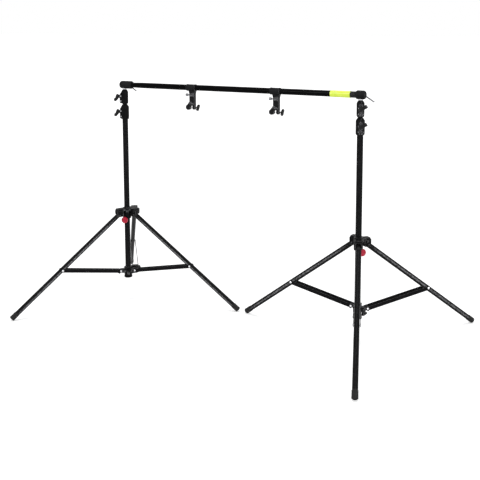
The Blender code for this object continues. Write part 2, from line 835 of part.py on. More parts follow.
def wing_knob(tip, seat):
    """A wing knob with its screw along local +X. Its wing's heel points up and its tip down."""
    stem_end = seat + KNOB_STEM_LENGTH
    hub = turned(
        "hub",
        [
            (0.0, stem_end),
            (SCREW_RADIUS + 0.0018, stem_end),
            (SCREW_RADIUS + 0.0035, seat + GAP),
            (SCREW_RADIUS, seat + GAP),
            (SCREW_RADIUS, tip),
            (0.0, tip),
        ],
        HOLE_SIDES,
        matrix=ALONG_X,
    )
    back = stem_end - 0.002
    heel_round = WING_HUB_DEPTH * 0.40
    tip_round = WING_TIP_DEPTH / 2.0
    shape = arc((back + heel_round, WING_HEEL - heel_round), heel_round, 180, 60, 4)
    shape += [
        (back + WING_HUB_DEPTH * 0.92, WING_HEEL * 0.45),
        (back + WING_HUB_DEPTH * 1.08, -WING_TIP * 0.12),
        (back + WING_HUB_DEPTH + WING_SWEEP * 0.45, -WING_TIP * 0.50),
    ]
    tip_centre = (back + WING_TIP_DEPTH / 2.0 + WING_SWEEP, -WING_TIP + tip_round)
    shape += arc(tip_centre, tip_round, 20, -160, 6)
    shape += [
        (back + WING_SWEEP * 0.52, -WING_TIP * 0.55),
        (back + WING_SWEEP * 0.12, -WING_TIP * 0.25),
    ]
    wing = outline("wing", shape, WING_THICKNESS, about_x(math.radians(90.0)), bevel=0.0014)
    return take(join(hub, wing))


knob_lower_mesh = wing_knob(COLUMN_RADIUS + GAP, LOCK_BOSS_REACH)
knob_upper_mesh = wing_knob(RISER_LOWER_RADIUS + GAP, LOCK_BOSS_REACH)


def make_stand(side, centre, turn, lock_angle, wing_tilt):
    """One stand: column, castings, three legs with braces, risers, locks and spigot."""
    base = empty(side + "_stand", None, (centre, 0.0, 0.0), turn)
    piece(side + "_column_tube", column_mesh, black_tube, base)
    piece(side + "_lower_casting", lower_casting_mesh, black_casting, base)
    lock_turn = about_z(lock_angle)
    knob_turn = lock_turn @ about_x(wing_tilt)
    piece(side + "_lock_collar_lower", lock_lower_mesh, black_casting, base, rotation=lock_turn)
    knob_low = LOCK_LOWER_BOTTOM + LOCK_KNOB_SHARE * LOCK_LOWER_HEIGHT
    knob_high = LOCK_UPPER_BOTTOM + LOCK_KNOB_SHARE * LOCK_UPPER_HEIGHT
    piece(side + "_knob_lower", knob_lower_mesh, black_plastic, base, (0, 0, knob_low), knob_turn)

    slide = empty(side + "_collar_slide", base)
    piece(side + "_upper_casting", upper_casting_mesh, black_casting, slide)
    release_place = (0, 0, RELEASE_HEIGHT)
    release_turn = about_z(RELEASE_ANGLE)
    piece(side + "_release_knob", release_knob_mesh, crimson, slide, release_place, release_turn)
    for letter, each in (("a", LEG_A), ("b", LEG_B), ("c", LEG_C)):
        angle = each[0]
        pivot = leg_frame(each) @ Vector((0.0, 0.0, LEG_PIVOT_HEIGHT))
        hinge = empty(f"{side}_hinge_{letter}", slide, pivot)
        swing = about_z(angle) @ about_y(-LEG_ANGLE)
        piece(f"{side}_leg_{letter}", leg_mesh, black_tube, hinge, rotation=swing)
        piece(f"{side}_foot_{letter}", foot_mesh, black_rubber, hinge, rotation=swing)
        joint = about_z(angle) @ Vector((JOINT_OUT, 0.0, JOINT_HEIGHT - LEG_PIVOT_HEIGHT))
        fold = about_z(angle) @ about_y(BRACE_ANGLE)
        piece(f"{side}_brace_{letter}", brace_mesh, black_tube, hinge, joint, fold)

    lift = empty(side + "_riser_lower_slide", base)
    piece(side + "_riser_lower", riser_lower_mesh, black_tube, lift)
    piece(side + "_lock_collar_upper", lock_upper_mesh, black_casting, lift, rotation=lock_turn)
    piece(side + "_knob_upper", knob_upper_mesh, black_plastic, lift, (0, 0, knob_high), knob_turn)
    top = empty(side + "_riser_upper_slide", lift)
    piece(side + "_riser_upper", riser_upper_mesh, black_tube, top)
    piece(side + "_spigot", spigot_mesh, steel, top)
    return base


make_stand("left", -HALF_BAR, LEFT_TURN, LEFT_LOCK_ANGLE, LEFT_WING_TILT)
make_stand("right", HALF_BAR, RIGHT_TURN, RIGHT_LOCK_ANGLE, RIGHT_WING_TILT)

# The crossbar has three nested tubes, two end rings and a label sleeve. Its turned pieces are
# made along +Z and laid along +X.
bar = empty("crossbar", None, (0.0, 0.0, BAR_HEIGHT))
outer_start = -HALF_BAR + BAR_OUTER_START
outer_end = RING_START - GAP
outer_profile = [
    (BAR_RADIUS - BAR_WALL, outer_end),
    (BAR_RADIUS, outer_end),
    (BAR_RADIUS, -HALF_BAR + NECK_END),
    (NECK_RADIUS, -HALF_BAR + NECK_END - NECK_TAPER),
    (NECK_RADIUS, outer_start),
    (NECK_RADIUS - BAR_WALL, outer_start),
    (NECK_RADIUS - BAR_WALL, -HALF_BAR + NECK_END - NECK_TAPER),
    (BAR_RADIUS - BAR_WALL, -HALF_BAR + NECK_END),
]
outer_tube = turned("outer", outer_profile, closed=True, matrix=ALONG_X)
piece("bar_outer_tube", take(outer_tube), black_tube, bar)
label = pipe(
    "label",
    BAR_RADIUS + GAP + LABEL_WALL,
    BAR_RADIUS + GAP,
    outer_end - LABEL_LENGTH,
    outer_end,
    matrix=ALONG_X,
)
piece("bar_label_sleeve", take(label), lime, bar)

ring_two_start = RING_START + RING_WIDTH + GAP
middle_end = ring_two_start - GAP
head_start = ring_two_start + RING_WIDTH + GAP
middle_start = -HALF_BAR + NECK_END + MIDDLE_INSET
middle_tube = pipe(
    "middle", MIDDLE_RADIUS, MIDDLE_RADIUS - MIDDLE_WALL, middle_start, middle_end, matrix=ALONG_X
)
inner_end = head_start - GAP
inner_start = -HALF_BAR + NECK_END + INNER_INSET
inner_tube = pipe(
    "inner", INNER_RADIUS, INNER_RADIUS - INNER_WALL, inner_start, inner_end, matrix=ALONG_X
)
ring_one = pipe(
    "ring", RING_RADIUS, MIDDLE_RADIUS + GAP, RING_START, RING_START + RING_WIDTH, matrix=ALONG_X
)
ring_two = pipe(
    "ring",
    RING_RADIUS,
    INNER_RADIUS + GAP,
    ring_two_start,
    ring_two_start + RING_WIDTH,
    matrix=ALONG_X,
)
middle_slide = empty("bar_middle_slide", bar)
inner_slide = empty("bar_inner_slide", middle_slide)
piece("bar_ring_outer", take(ring_one), black_plastic, bar)
piece("bar_middle_tube", take(middle_tube), black_tube, middle_slide)
piece("bar_ring_middle", take(ring_two), black_plastic, middle_slide)
piece("bar_inner_tube", take(inner_tube), black_tube, inner_slide)


def head(name, outward, plug_radius, flange_end):
    """A head: a barrel along the bar, a socket for the spigot below and a lever boss behind.

    outward is -1 for the left head and 1 for the right. The spigot's axis is at the origin.
    """
    profile = [
        (0.0, HEAD_OUTER_REACH - HEAD_RECESS),
        (HEAD_RECESS_RADIUS, HEAD_OUTER_REACH - HEAD_RECESS),
        (HEAD_RECESS_RADIUS, HEAD_OUTER_REACH),
        (HEAD_RADIUS - 0.004, HEAD_OUTER_REACH),
        (HEAD_RADIUS - 0.001, HEAD_OUTER_REACH - 0.003),
        (HEAD_RADIUS, HEAD_OUTER_REACH - 0.008),
        (HEAD_RADIUS, -flange_end + 0.006),
        (HEAD_FLANGE_RADIUS, -flange_end + 0.002),
        (HEAD_FLANGE_RADIUS - 0.002, -flange_end),
        (plug_radius, -flange_end),
        (plug_radius, -flange_end - PLUG_LENGTH),
        (0.0, -flange_end - PLUG_LENGTH),
    ]
    place = ALONG_X if outward > 0 else about_y(math.radians(-90.0))
    body = turned(name, profile, 20, matrix=place)
    lug = rod("lug", LEVER_BOSS_RADIUS, (0, 0.008, 0), (0, LEVER_BOSS_REACH, 0), ROUND)
    body = join(body, lug)
    return cut(
        body,
        rod("socket", SPIGOT_RADIUS + GAP, (0, 0, -0.03), (0, 0, SPIGOT_TOP + 0.001)),
        rod("screw_bore", SCREW_RADIUS + GAP, (0, 0.004, 0), (0, 0.03, 0), HOLE_SIDES),
    )


def lever(name):
    """A locking lever: a short screw along Y with a hub, and a thin rod to one side, along +X."""
    seat = LEVER_BOSS_REACH + GAP
    body = rod(
        "screw", SCREW_RADIUS, (0, SPIGOT_RADIUS + PIVOT_GAP, 0), (0, seat + 0.002, 0), HOLE_SIDES
    )
    hub = rod("hub", LEVER_HUB_RADIUS, (0, seat, 0), (0, seat + LEVER_HUB_LENGTH, 0))
    middle = seat + LEVER_HUB_LENGTH / 2.0
    bar_rod = rod("rod", LEVER_ROD_RADIUS, (0, middle, 0), (LEVER_LENGTH, middle, 0), 8)
    tip = bpy.data.meshes.new("tip")
    data = bmesh.new()
    bmesh.ops.create_uvsphere(data, u_segments=8, v_segments=6, radius=LEVER_ROD_RADIUS + 0.0008)
    bmesh.ops.translate(data, vec=(LEVER_LENGTH, middle, 0.0), verts=data.verts)
    data.to_mesh(tip)
    data.free()
    return join(body, hub, bar_rod, store(tip, "tip"))


left_plug = NECK_RADIUS - BAR_WALL - GAP
right_plug = INNER_RADIUS - INNER_WALL - GAP
left_flange = BAR_OUTER_START - GAP
right_flange = HALF_BAR - head_start
left_head = head("left_head", -1, left_plug, left_flange)
right_head = head("right_head", 1, right_plug, right_flange)
lever_mesh = take(lever("lever"))
lever_turn = about_y(LEVER_DROP)
piece("bar_left_head", take(left_head), black_casting, bar, (-HALF_BAR, 0, 0))
piece("bar_left_lever", lever_mesh, steel, bar, (-HALF_BAR, 0, 0), lever_turn)
piece("bar_right_head", take(right_head), black_casting, inner_slide, (HALF_BAR, 0, 0))
piece("bar_right_lever", lever_mesh, steel, inner_slide, (HALF_BAR, 0, 0), lever_turn)

# A hanging clamp has a saddle on the bar, a hanger and a screw jaw that opens downwards.
SADDLE_BORE = BAR_RADIUS + GAP
SADDLE_RADIUS = SADDLE_BORE + SADDLE_WALL
saddle = rod(
    "saddle",
    SADDLE_RADIUS,
    (SADDLE_SHIFT - SADDLE_LENGTH / 2.0, 0, 0),
    (SADDLE_SHIFT + SADDLE_LENGTH / 2.0, 0, 0),
    20,
)
half_width = HANGER_WIDTH / 2.0
jaw_root = -HANGER_BOTTOM - 0.0015
hanger_shape = [
    (-half_width - 0.006, -SADDLE_BORE + 0.006),
    (-half_width, -SADDLE_RADIUS - 0.012),
    (-half_width, -HANGER_BOTTOM + 0.014),
]
hanger_shape += arc((-JAW_CENTRE, -JAW_HEIGHT), JAW_RADIUS, 110, 320, 8)
hanger_shape += [
    (-JAW_FACE, -JAW_HEIGHT - 0.006),
    (-JAW_FACE, jaw_root - 0.0015),
    (-JAW_FACE + 0.0015, jaw_root),
    (JAW_BOSS_START - 0.0015, jaw_root),
    (JAW_BOSS_START, jaw_root - 0.0015),
    (JAW_BOSS_START, -JAW_HEIGHT - JAW_BOSS_RADIUS),
    (JAW_BOSS_START + JAW_BOSS_WIDTH, -JAW_HEIGHT - JAW_BOSS_RADIUS),
    (half_width, -HANGER_BOTTOM),
    (half_width, -SADDLE_RADIUS - 0.012),
    (half_width + 0.006, -SADDLE_BORE + 0.006),
]
hanger = outline("hanger", hanger_shape, HANGER_DEPTH, about_x(math.radians(90.0)), bevel=0.001)
clamp_body = cut(
    join(saddle, hanger),
    rod("bar_bore", SADDLE_BORE, (-0.06, 0, 0), (0.06, 0, 0), 20),
    rod(
        "jaw_bore",
        JAW_SCREW_RADIUS + GAP,
        (JAW_BOSS_START - 0.004, 0, -JAW_HEIGHT),
        (0.04, 0, -JAW_HEIGHT),
        HOLE_SIDES,
    ),
    rod(
        "thumb_bore",
        SCREW_RADIUS + GAP,
        (-0.04, 0, -THUMB_HEIGHT),
        (THUMB_TIP + GAP, 0, -THUMB_HEIGHT),
        HOLE_SIDES,
    ),
)
clamp_body_mesh = take(clamp_body)

pad_end = JAW_BOSS_START - GAP
jaw_pad_mesh = take(
    rod("pad", PAD_RADIUS, (pad_end - PAD_THICKNESS, 0, 0), (pad_end, 0, 0), ROUND)
)
wing_middle = CLAMP_WING_START + CLAMP_WING_THICKNESS / 2.0
jaw_screw = rod(
    "screw", JAW_SCREW_RADIUS, (pad_end + GAP, 0, 0), (wing_middle, 0, 0), HOLE_SIDES
)
wing_end = CLAMP_WING_SPAN / 2.0 - CLAMP_WING_END
jaw_wing = outline(
    "wing",
    arc((0.0, wing_end), CLAMP_WING_END, 0, 180, 6)
    + arc((0.0, -wing_end), CLAMP_WING_END, 180, 360, 6),
    CLAMP_WING_THICKNESS,
    Matrix.Translation((wing_middle, 0, 0)) @ ALONG_X @ about_z(CLAMP_WING_TURN),
    bevel=0.0012,
)
jaw_hub = rod(
    "hub",
    CLAMP_HUB_RADIUS,
    (CLAMP_WING_START - CLAMP_HUB_LENGTH, 0, 0),
    (wing_middle, 0, 0),
    HOLE_SIDES,
)
jaw_screw_mesh = take(join(jaw_screw, jaw_hub, jaw_wing))

thumb_face = -half_width - GAP
thumb_end = thumb_face - THUMB_REACH
thumb_stem = rod(
    "stem", SCREW_RADIUS, (THUMB_TIP, 0, 0), (thumb_end + THUMB_HEAD / 2.0, 0, 0), HOLE_SIDES
)
thumb_head = rod("head", THUMB_RADIUS, (thumb_end, 0, 0), (thumb_end + THUMB_HEAD, 0, 0))
thumb_mesh = take(join(thumb_stem, thumb_head))

for number, side in ((1, -1.0), (2, 1.0)):
    clamp = empty(f"clamp_{number}", bar, (side * CLAMP_OFFSET, 0.0, 0.0))
    piece(f"clamp_{number}_body", clamp_body_mesh, black_casting, clamp)
    jaw = empty(f"clamp_{number}_jaw", clamp, (0.0, 0.0, -JAW_HEIGHT))
    piece(f"clamp_{number}_jaw_pad", jaw_pad_mesh, steel, jaw)
    piece(f"clamp_{number}_jaw_screw", jaw_screw_mesh, black_plastic, jaw)
    piece(f"clamp_{number}_thumb_screw", thumb_mesh, steel, clamp, (0.0, 0.0, -THUMB_HEIGHT))

# The whole is centred on its bounding box and stands on the floor.
bpy.context.view_layer.update()
corners = []
for obj in parts.objects:
    if obj.type == "MESH":
        corners += [obj.matrix_world @ vertex.co for vertex in obj.data.vertices]
lowest = Vector([min(point[axis] for point in corners) for axis in range(3)])
highest = Vector([max(point[axis] for point in corners) for axis in range(3)])
shift = Vector(
    (-(lowest.x + highest.x) / 2.0, -(lowest.y + highest.y) / 2.0, -lowest.z)
)
for obj in parts.objects:
    if obj.parent is None:
        obj.location = obj.location + shift
bpy.context.view_layer.update()
bpy.data.collections.remove(cutters)
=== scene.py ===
import math

import bmesh
import bpy
from mathutils import Matrix, Vector


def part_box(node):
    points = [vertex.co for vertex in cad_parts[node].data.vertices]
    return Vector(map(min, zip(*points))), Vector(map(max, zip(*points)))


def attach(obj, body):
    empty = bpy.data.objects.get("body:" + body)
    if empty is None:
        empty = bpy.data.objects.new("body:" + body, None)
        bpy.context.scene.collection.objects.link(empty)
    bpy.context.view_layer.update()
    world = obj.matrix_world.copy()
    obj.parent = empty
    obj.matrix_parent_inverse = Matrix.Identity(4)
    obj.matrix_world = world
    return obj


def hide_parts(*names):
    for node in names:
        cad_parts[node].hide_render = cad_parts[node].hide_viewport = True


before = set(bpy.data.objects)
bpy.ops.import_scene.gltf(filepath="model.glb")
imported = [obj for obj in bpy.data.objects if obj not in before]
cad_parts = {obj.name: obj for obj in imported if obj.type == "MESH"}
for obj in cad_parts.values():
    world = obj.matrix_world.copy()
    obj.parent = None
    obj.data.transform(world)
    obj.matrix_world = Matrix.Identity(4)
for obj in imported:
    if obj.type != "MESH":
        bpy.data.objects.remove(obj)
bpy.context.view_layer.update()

# Camera and studio. The camera stands in front of the set and to its right, 1.3 m up, turned
# towards the left stand. The set stands on a plain white floor in soft light.
column_bottom = 0.1055
spigot_corners = [*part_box("left_spigot"), *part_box("right_spigot")]
bar_middle = sum((Vector(corner) for corner in spigot_corners), Vector((0.0, 0.0, 0.0))) / 4.0
stand_floor = Vector(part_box("left_column_tube")[0]).z - column_bottom
camera_right = 1.9471
camera_back = 3.1634
camera_height = 1.2921
camera_heading = 29.8966
camera_dip = 7.5494
camera_roll = 0.0226
camera_data = bpy.data.cameras.new("camera")
camera_data.sensor_width = 36.0
camera_data.lens = 64.74
camera_data.shift_x = -0.0399
camera_data.shift_y = -0.2083
camera = bpy.data.objects.new("camera", camera_data)
camera.location = (
    bar_middle.x + camera_right, bar_middle.y - camera_back, stand_floor + camera_height
)
camera.rotation_euler = (
    Matrix.Rotation(math.radians(camera_heading), 3, "Z")
    @ Matrix.Rotation(math.radians(90.0 - camera_dip), 3, "X")
    @ Matrix.Rotation(math.radians(camera_roll), 3, "Z")
).to_euler()
bpy.context.scene.collection.objects.link(camera)
bpy.context.scene.camera = camera
bpy.context.scene.view_settings.view_transform = "Standard"


def step(tree, kind, values, **settings):
    """Adds one node with its settings, values and links. A node as a value is its first output."""
    node = tree.nodes.new(kind)
    for setting, value in settings.items():
        setattr(node, setting, value)
    for socket, value in values.items():
        if isinstance(value, bpy.types.Node):
            value = value.outputs[0]
        if isinstance(value, bpy.types.NodeSocket):
            tree.links.new(value, node.inputs[socket])
        else:
            node.inputs[socket].default_value = value
    return node


def seen_rays(tree):
    """One for a ray from the camera, off a glossy surface or through a clear one, else zero."""
    path = tree.nodes.new("ShaderNodeLightPath")
    total = path.outputs["Is Camera Ray"]
    for kind in ("Is Glossy Ray", "Is Transmission Ray"):
        total = step(tree, "ShaderNodeMath", {0: total, 1: path.outputs[kind]}, operation="MAXIMUM")
    return total


WHITE = (1.0, 1.0, 1.0, 1.0)
world = bpy.data.worlds.new("studio")
world.use_nodes = True
sky = world.node_tree
sky.nodes.clear()
seen = step(sky, "ShaderNodeBackground", {"Color": WHITE, "Strength": 1.0})
glow = step(sky, "ShaderNodeBackground", {"Color": (0.98, 0.99, 1.0, 1.0), "Strength": 0.35})
sky_mix = step(sky, "ShaderNodeMixShader", {0: seen_rays(sky), 1: glow, 2: seen})
step(sky, "ShaderNodeOutputWorld", {"Surface": sky_mix})
bpy.context.scene.world = world

floor_half = 90.0
floor_lift = 0.45
floor_corners = [
    (x * floor_half, y * floor_half, 0.0) for x, y in ((-1, -1), (1, -1), (1, 1), (-1, 1))
]
floor_mesh = bpy.data.meshes.new("studio_floor")
floor_mesh.from_pydata(floor_corners, [], [(0, 1, 2, 3)])
floor_finish = bpy.data.materials.new("studio_floor")
floor_finish.use_nodes = True
ground = floor_finish.node_tree
ground.nodes.clear()
paper = step(ground, "ShaderNodeBsdfDiffuse", {"Color": (0.82, 0.82, 0.82, 1.0)})
lift_strength = step(
    ground, "ShaderNodeMath", {0: seen_rays(ground), 1: floor_lift}, operation="MULTIPLY"
)
lift = step(ground, "ShaderNodeEmission", {"Color": WHITE, "Strength": lift_strength})
lift_sum = step(ground, "ShaderNodeAddShader", {0: paper, 1: lift})
step(ground, "ShaderNodeOutputMaterial", {"Surface": lift_sum})
floor_mesh.materials.append(floor_finish)
studio_floor = bpy.data.objects.new("studio_floor", floor_mesh)
bpy.context.scene.collection.objects.link(studio_floor)

for lamp_name, lamp_way, lamp_spread, lamp_power in (
    ("key_lamp", (-3.2, 1.2, -1.1), 14.0, 1.5),
    ("fill_lamp", (1.6, 3.6, -1.6), 16.0, 1.0),
    ("top_lamp", (0.5, -0.6, -3.6), 40.0, 1.4),
):
    lamp_data = bpy.data.lights.new(lamp_name, "SUN")
    lamp_data.angle = math.radians(lamp_spread)
    lamp_data.energy = lamp_power
    lamp = bpy.data.objects.new(lamp_name, lamp_data)
    lamp.location = -Vector(lamp_way)
    lamp.rotation_euler = Vector(lamp_way).to_track_quat("-Z", "Y").to_euler()
    bpy.context.scene.collection.objects.link(lamp)

# Column tubes. Each stand's main post is a 26 mm drawn aluminium tube, anodised black. It is
# pressed into the lower casting at its foot and carries the lower lock collar on its top.
column_radius = 0.0130
column_wall = 0.0014
column_top = 0.9035
SIDES = ("left", "right")
stand_turn = {"left": math.radians(130.6), "right": math.radians(176.4)}


def up(height):
    return Matrix.Translation((0.0, 0.0, height))


def about_z(angle):
    return Matrix.Rotation(angle, 4, "Z")


stand_place = {}
for side in SIDES:
    low, high = [Vector(corner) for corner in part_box(f"{side}_column_tube")]
    foot_of_column = Matrix.Translation(
        ((low.x + high.x) / 2.0, (low.y + high.y) / 2.0, low.z - column_bottom)
    )
    stand_place[side] = foot_of_column @ about_z(stand_turn[side])


def soften(points, radius, closed, cuts=3):
    """Rounds the corners of a line or outline; a radius too large for its edges is shortened."""
    count = len(points)
    smooth = []
    for index, point in enumerate(points):
        here = Vector(point)
        if not closed and index in (0, count - 1):
            smooth.append(tuple(here))
            continue
        before = Vector(points[index - 1])
        after = Vector(points[(index + 1) % count])
        reach = min(radius, 0.45 * (before - here).length, 0.45 * (after - here).length)
        start = here + (before - here).normalized() * reach
        end = here + (after - here).normalized() * reach
        for cut in range(cuts + 1):
            share = cut / cuts
            bend = start.lerp(here, share).lerp(here.lerp(end, share), share)
            smooth.append(tuple(bend))
    return smooth


def turned(profile, ease=0.0, place=Matrix(), sides=48, ring=False, cuts=3, shape=None):
    """A turned form about local Z from a profile of (radius, height), top first.

    A ring closes on itself, and any other profile starts and ends on the axis. The ease rounds
    the profile's corners. The form is added to a shape, if there is one.
    """
    if shape is None:
        shape = bmesh.new()
    if ease:
        profile = soften(profile, ease, ring, cuts)
    rows = []
    for radius, height in profile:
        count = 1 if radius < 0.000001 else sides
        row = []
        for index in range(count):
            turn = 2.0 * math.pi * index / sides
            spot = Vector((radius * math.cos(turn), radius * math.sin(turn), height))
            row.append(shape.verts.new(place @ spot))
        rows.append(row)
    pairs = list(zip(rows, rows[1:]))
    if ring:
        pairs.append((rows[-1], rows[0]))
    for upper, lower in pairs:
        for index in range(sides):
            after = index + 1
            face = []
            for vert in (
                upper[index % len(upper)],
                lower[index % len(lower)],
                lower[after % len(lower)],
                upper[after % len(upper)],
            ):
                if vert not in face:
                    face.append(vert)
            if len(face) > 2:
                shape.faces.new(face)
    return shape


def tube(outer, inner, bottom, top):
    """An open tube with eased rims."""
    wall = [(inner, top), (outer, top), (outer, bottom), (inner, bottom)]
    return turned(wall, 0.0004, ring=True, cuts=2)


def plain_mesh(obj):
    """The object's mesh with its modifiers applied."""
    graph = bpy.context.evaluated_depsgraph_get()
    graph.update()
    mesh = bpy.data.meshes.new_from_object(obj.evaluated_get(graph), depsgraph=graph)
    mesh.name = obj.name
    return mesh


def hand_over(name, shape, place, finish, body, node=None):
    """Turns a finished shape into a piece in its place, riding on its body.

    A finish is a material with the name of a slot, and the slot name is not used. Each point keeps
    where it was made, for patterns that follow the piece, and how sharply the surface bends there,
    for worn edges.
    """
    material, slot = finish
    bmesh.ops.remove_doubles(shape, verts=shape.verts, dist=0.000001)
    made = shape.verts.layers.float_vector.new("made")
    edge = shape.verts.layers.float.new("edge")
    for vert in shape.verts:
        vert[made] = vert.co
        bends = [line.calc_face_angle_signed(0.0) for line in vert.link_edges]
        vert[edge] = max(bends, default=0.0)
    mesh = bpy.data.meshes.new(name)
    shape.to_mesh(mesh)
    shape.free()
    mesh.transform(place)
    mesh.shade_smooth()
    mesh.set_sharp_from_angle(angle=math.radians(38.0))
    mesh.materials.append(material)
    piece = bpy.data.objects.new(name, mesh)
    bpy.context.scene.collection.objects.link(piece)
    weigh = piece.modifiers.new("Weighted Normal", "WEIGHTED_NORMAL")
    weigh.keep_sharp = True
    piece.data = plain_mesh(piece)
    piece.modifiers.clear()
    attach(piece, body)
    if node:
        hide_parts(node)


def finish_start(name, metallic, specular=0.5, coat=0.0):
    """A new material with its tree, its shader and the piece's own coordinates."""
    material = bpy.data.materials.new(name)
    material.use_nodes = True
    tree = material.node_tree
    shader = tree.nodes["Principled BSDF"]
    for socket, value in (
        ("Metallic", metallic),
        ("Specular IOR Level", specular),
        ("Coat Weight", coat),
        ("Coat Roughness", 0.25),
    ):
        shader.inputs[socket].default_value = value
    made = step(tree, "ShaderNodeAttribute", {}, attribute_name="made").outputs["Vector"]
    return material, tree, shader, made


def noise(tree, where, stretch, detail=2.0):
    """Noise whose grains are 1 / stretch metres long, in each direction or in all."""
    if isinstance(stretch, float):
        stretch = (stretch,) * 3
    where = step(tree, "ShaderNodeVectorMath", {0: where, 1: stretch}, operation="MULTIPLY")
    values = {"Vector": where, "Scale": 1.0, "Detail": detail}
    return step(tree, "ShaderNodeTexNoise", values).outputs["Fac"]


def spread(tree, value, low=0.3, high=0.7, to_low=0.0, to_high=1.0):
    """Maps a value between two limits to a new range, clamped."""
    limits = {"From Min": low, "From Max": high, "To Min": to_low, "To Max": to_high}
    return step(tree, "ShaderNodeMapRange", {"Value": value, **limits})


def mixed(tree, share, first, second):
    """A colour between two, each a socket or a plain red, green and blue."""
    values = {"Factor": share}
    for socket, colour in ((6, first), (7, second)):
        values[socket] = (*colour, 1.0) if isinstance(colour, tuple) else colour
    return step(tree, "ShaderNodeMix", values, data_type="RGBA").outputs[2]


def worn(tree, made, grains, share, colour, bare):
    """A colour rubbed down to a bare one in small patches, only on bends of the surface."""
    edge = step(tree, "ShaderNodeAttribute", {}, attribute_name="edge").outputs["Fac"]
    bend = spread(tree, edge, 0.30, 0.60, 0.0, share)
    patches = spread(tree, noise(tree, made, grains), 0.42, 0.62)
    rubbed = step(tree, "ShaderNodeMath", {0: bend, 1: patches}, operation="MULTIPLY")
    return mixed(tree, rubbed, colour, bare)


def finish_end(tree, shader, colour, rough_by, rough, bump_by, depth, strength):
    """Ends a material with its colour, the range of its roughness and its relief."""
    roughness = spread(tree, rough_by, to_low=rough[0], to_high=rough[1])
    height = {"Height": bump_by, "Strength": strength, "Distance": depth}
    bump = step(tree, "ShaderNodeBump", height)
    tree.links.new(colour, shader.inputs["Base Color"])
    tree.links.new(roughness.outputs[0], shader.inputs["Roughness"])
    tree.links.new(bump.outputs[0], shader.inputs["Normal"])


def anodised(name, dark, pale, rough):
    """Black anodised drawn tube: fine lines along it, faint rings where sleeves slid on it."""
    material, tree, shader, made = finish_start(name, 0.0, specular=0.022)
    lines = noise(tree, made, (1500.0, 1500.0, 14.0), 3.0)
    patches = noise(tree, made, (26.0, 26.0, 9.0))
    slid = spread(tree, noise(tree, made, (30.0, 30.0, 700.0), 4.0), 0.60, 0.78, 0.0, 0.45)
    colour = mixed(tree, spread(tree, patches), dark, pale)
    colour = mixed(tree, slid, colour, (0.011, 0.011, 0.012))
    colour = worn(tree, made, 420.0, 0.8, colour, (0.30, 0.30, 0.31))
    finish_end(tree, shader, colour, lines, rough, lines, 0.000006, 0.5)
    return material


tube_dark = (0.0012, 0.0012, 0.0014)
tube_pale = (0.0028, 0.0028, 0.0032)
black_tube = anodised("black_anodised_tube", tube_dark, tube_pale, (0.11, 0.18)), "black_tube"
for side in SIDES:
    column = tube(column_radius, column_radius - column_wall, column_bottom, column_top)
    hand_over(
        f"{side}_column", column, stand_place[side], black_tube,
        f"{side}_base", f"{side}_column_tube",
    )

# Lower castings. A die-cast aluminium sleeve, painted black, is pressed on the column's foot. It
# carries three tongues whose open mouths hold the brace pins, and two claws that clip on a
# folded stand's column.
sleeve_radius = 0.0191
sleeve_waist = sleeve_radius - 0.0009
sleeve_bore = 0.0133
gap = 0.0003
brace_pivot_height = 0.1395
lower_sleeve_top = 0.1525
lower_sleeve_bottom = 0.1010
leg_seats = {
    "a": (math.radians(0.0), 0.0420, -0.0360),
    "b": (math.radians(116.2), 0.0460, 0.0020),
    "c": (math.radians(236.2), 0.0425, 0.0020),
}
tongue_half = 0.0115
tongue_low = brace_pivot_height - 0.0120
tongue_high = brace_pivot_height + 0.0075
tongue_rim = 0.0032
tongue_hollow = 0.0028
brace_mouth_radius = 0.0034
claw_half_width = 0.0065
claw_root = 0.0150
claw_mouth_radius = 0.0058
claw_pocket = 0.0022
lower_claw_bottom = brace_pivot_height - 0.0235
claw_sizes = ((math.radians(-75.0), 0.0600, 0.0390), (math.radians(180.0), 0.0430, 0.0210))
UPRIGHT = Matrix.Rotation(math.radians(90.0), 4, "X")
ALONG_X = Matrix.Rotation(math.radians(90.0), 4, "Y")


def leg_plane(letter):
    """A leg's own plane: X outwards, Y along its hinge."""
    angle, out, aside = leg_seats[letter]
    return about_z(angle) @ Matrix.Translation((out, aside, 0.0))


def plate(points, thickness, place, edge, cuts=3, shape=None):
    """A plate cut to an outline in local XY, centred on Z = 0, with eased edges."""
    if shape is None:
        shape = bmesh.new()
    count = len(points)
    area = sum(
        points[i - 1][0] * points[i][1] - points[i][0] * points[i - 1][1] for i in range(count)
    )
    corners = [Vector((x, y)) for x, y in (points if area > 0.0 else points[::-1])]
    inward = []
    for index in range(count):
        before = (corners[index] - corners[index - 1]).normalized()
        after = (corners[(index + 1) % count] - corners[index]).normalized()
        side_one = Vector((-before.y, before.x))
        side_two = Vector((-after.y, after.x))
        middle = (side_one + side_two).normalized()
        inward.append(middle / max(0.5, middle.dot(side_one)))
    rows = []
    half = thickness / 2.0
    levels = []
    for cut in range(cuts + 1):
        turn = math.radians(90.0) * cut / cuts
        levels.append((half - edge * (1.0 - math.cos(turn)), edge * (1.0 - math.sin(turn))))
    levels += [(-height, inset) for height, inset in reversed(levels)]
    for height, inset in levels:
        row = []
        for corner, way in zip(corners, inward):
            flat = corner + way * inset
            row.append(shape.verts.new(place @ Vector((flat.x, flat.y, height))))
        rows.append(row)
    for upper, lower in zip(rows, rows[1:]):
        for index in range(count):
            after = (index + 1) % count
            shape.faces.new((upper[index], lower[index], lower[after], upper[after]))
    shape.faces.new(rows[0])
    shape.faces.new(rows[-1][::-1])
    return shape


def block(low, high, place, edge, round_corners=0.0015):
    """A block between two corners, its upright corners and its rims rounded."""
    outline = [(low[0], low[1]), (high[0], low[1]), (high[0], high[1]), (low[0], high[1])]
    outline = soften(outline, round_corners, closed=True)
    return plate(outline, high[2] - low[2], place @ up((low[2] + high[2]) / 2.0), edge)


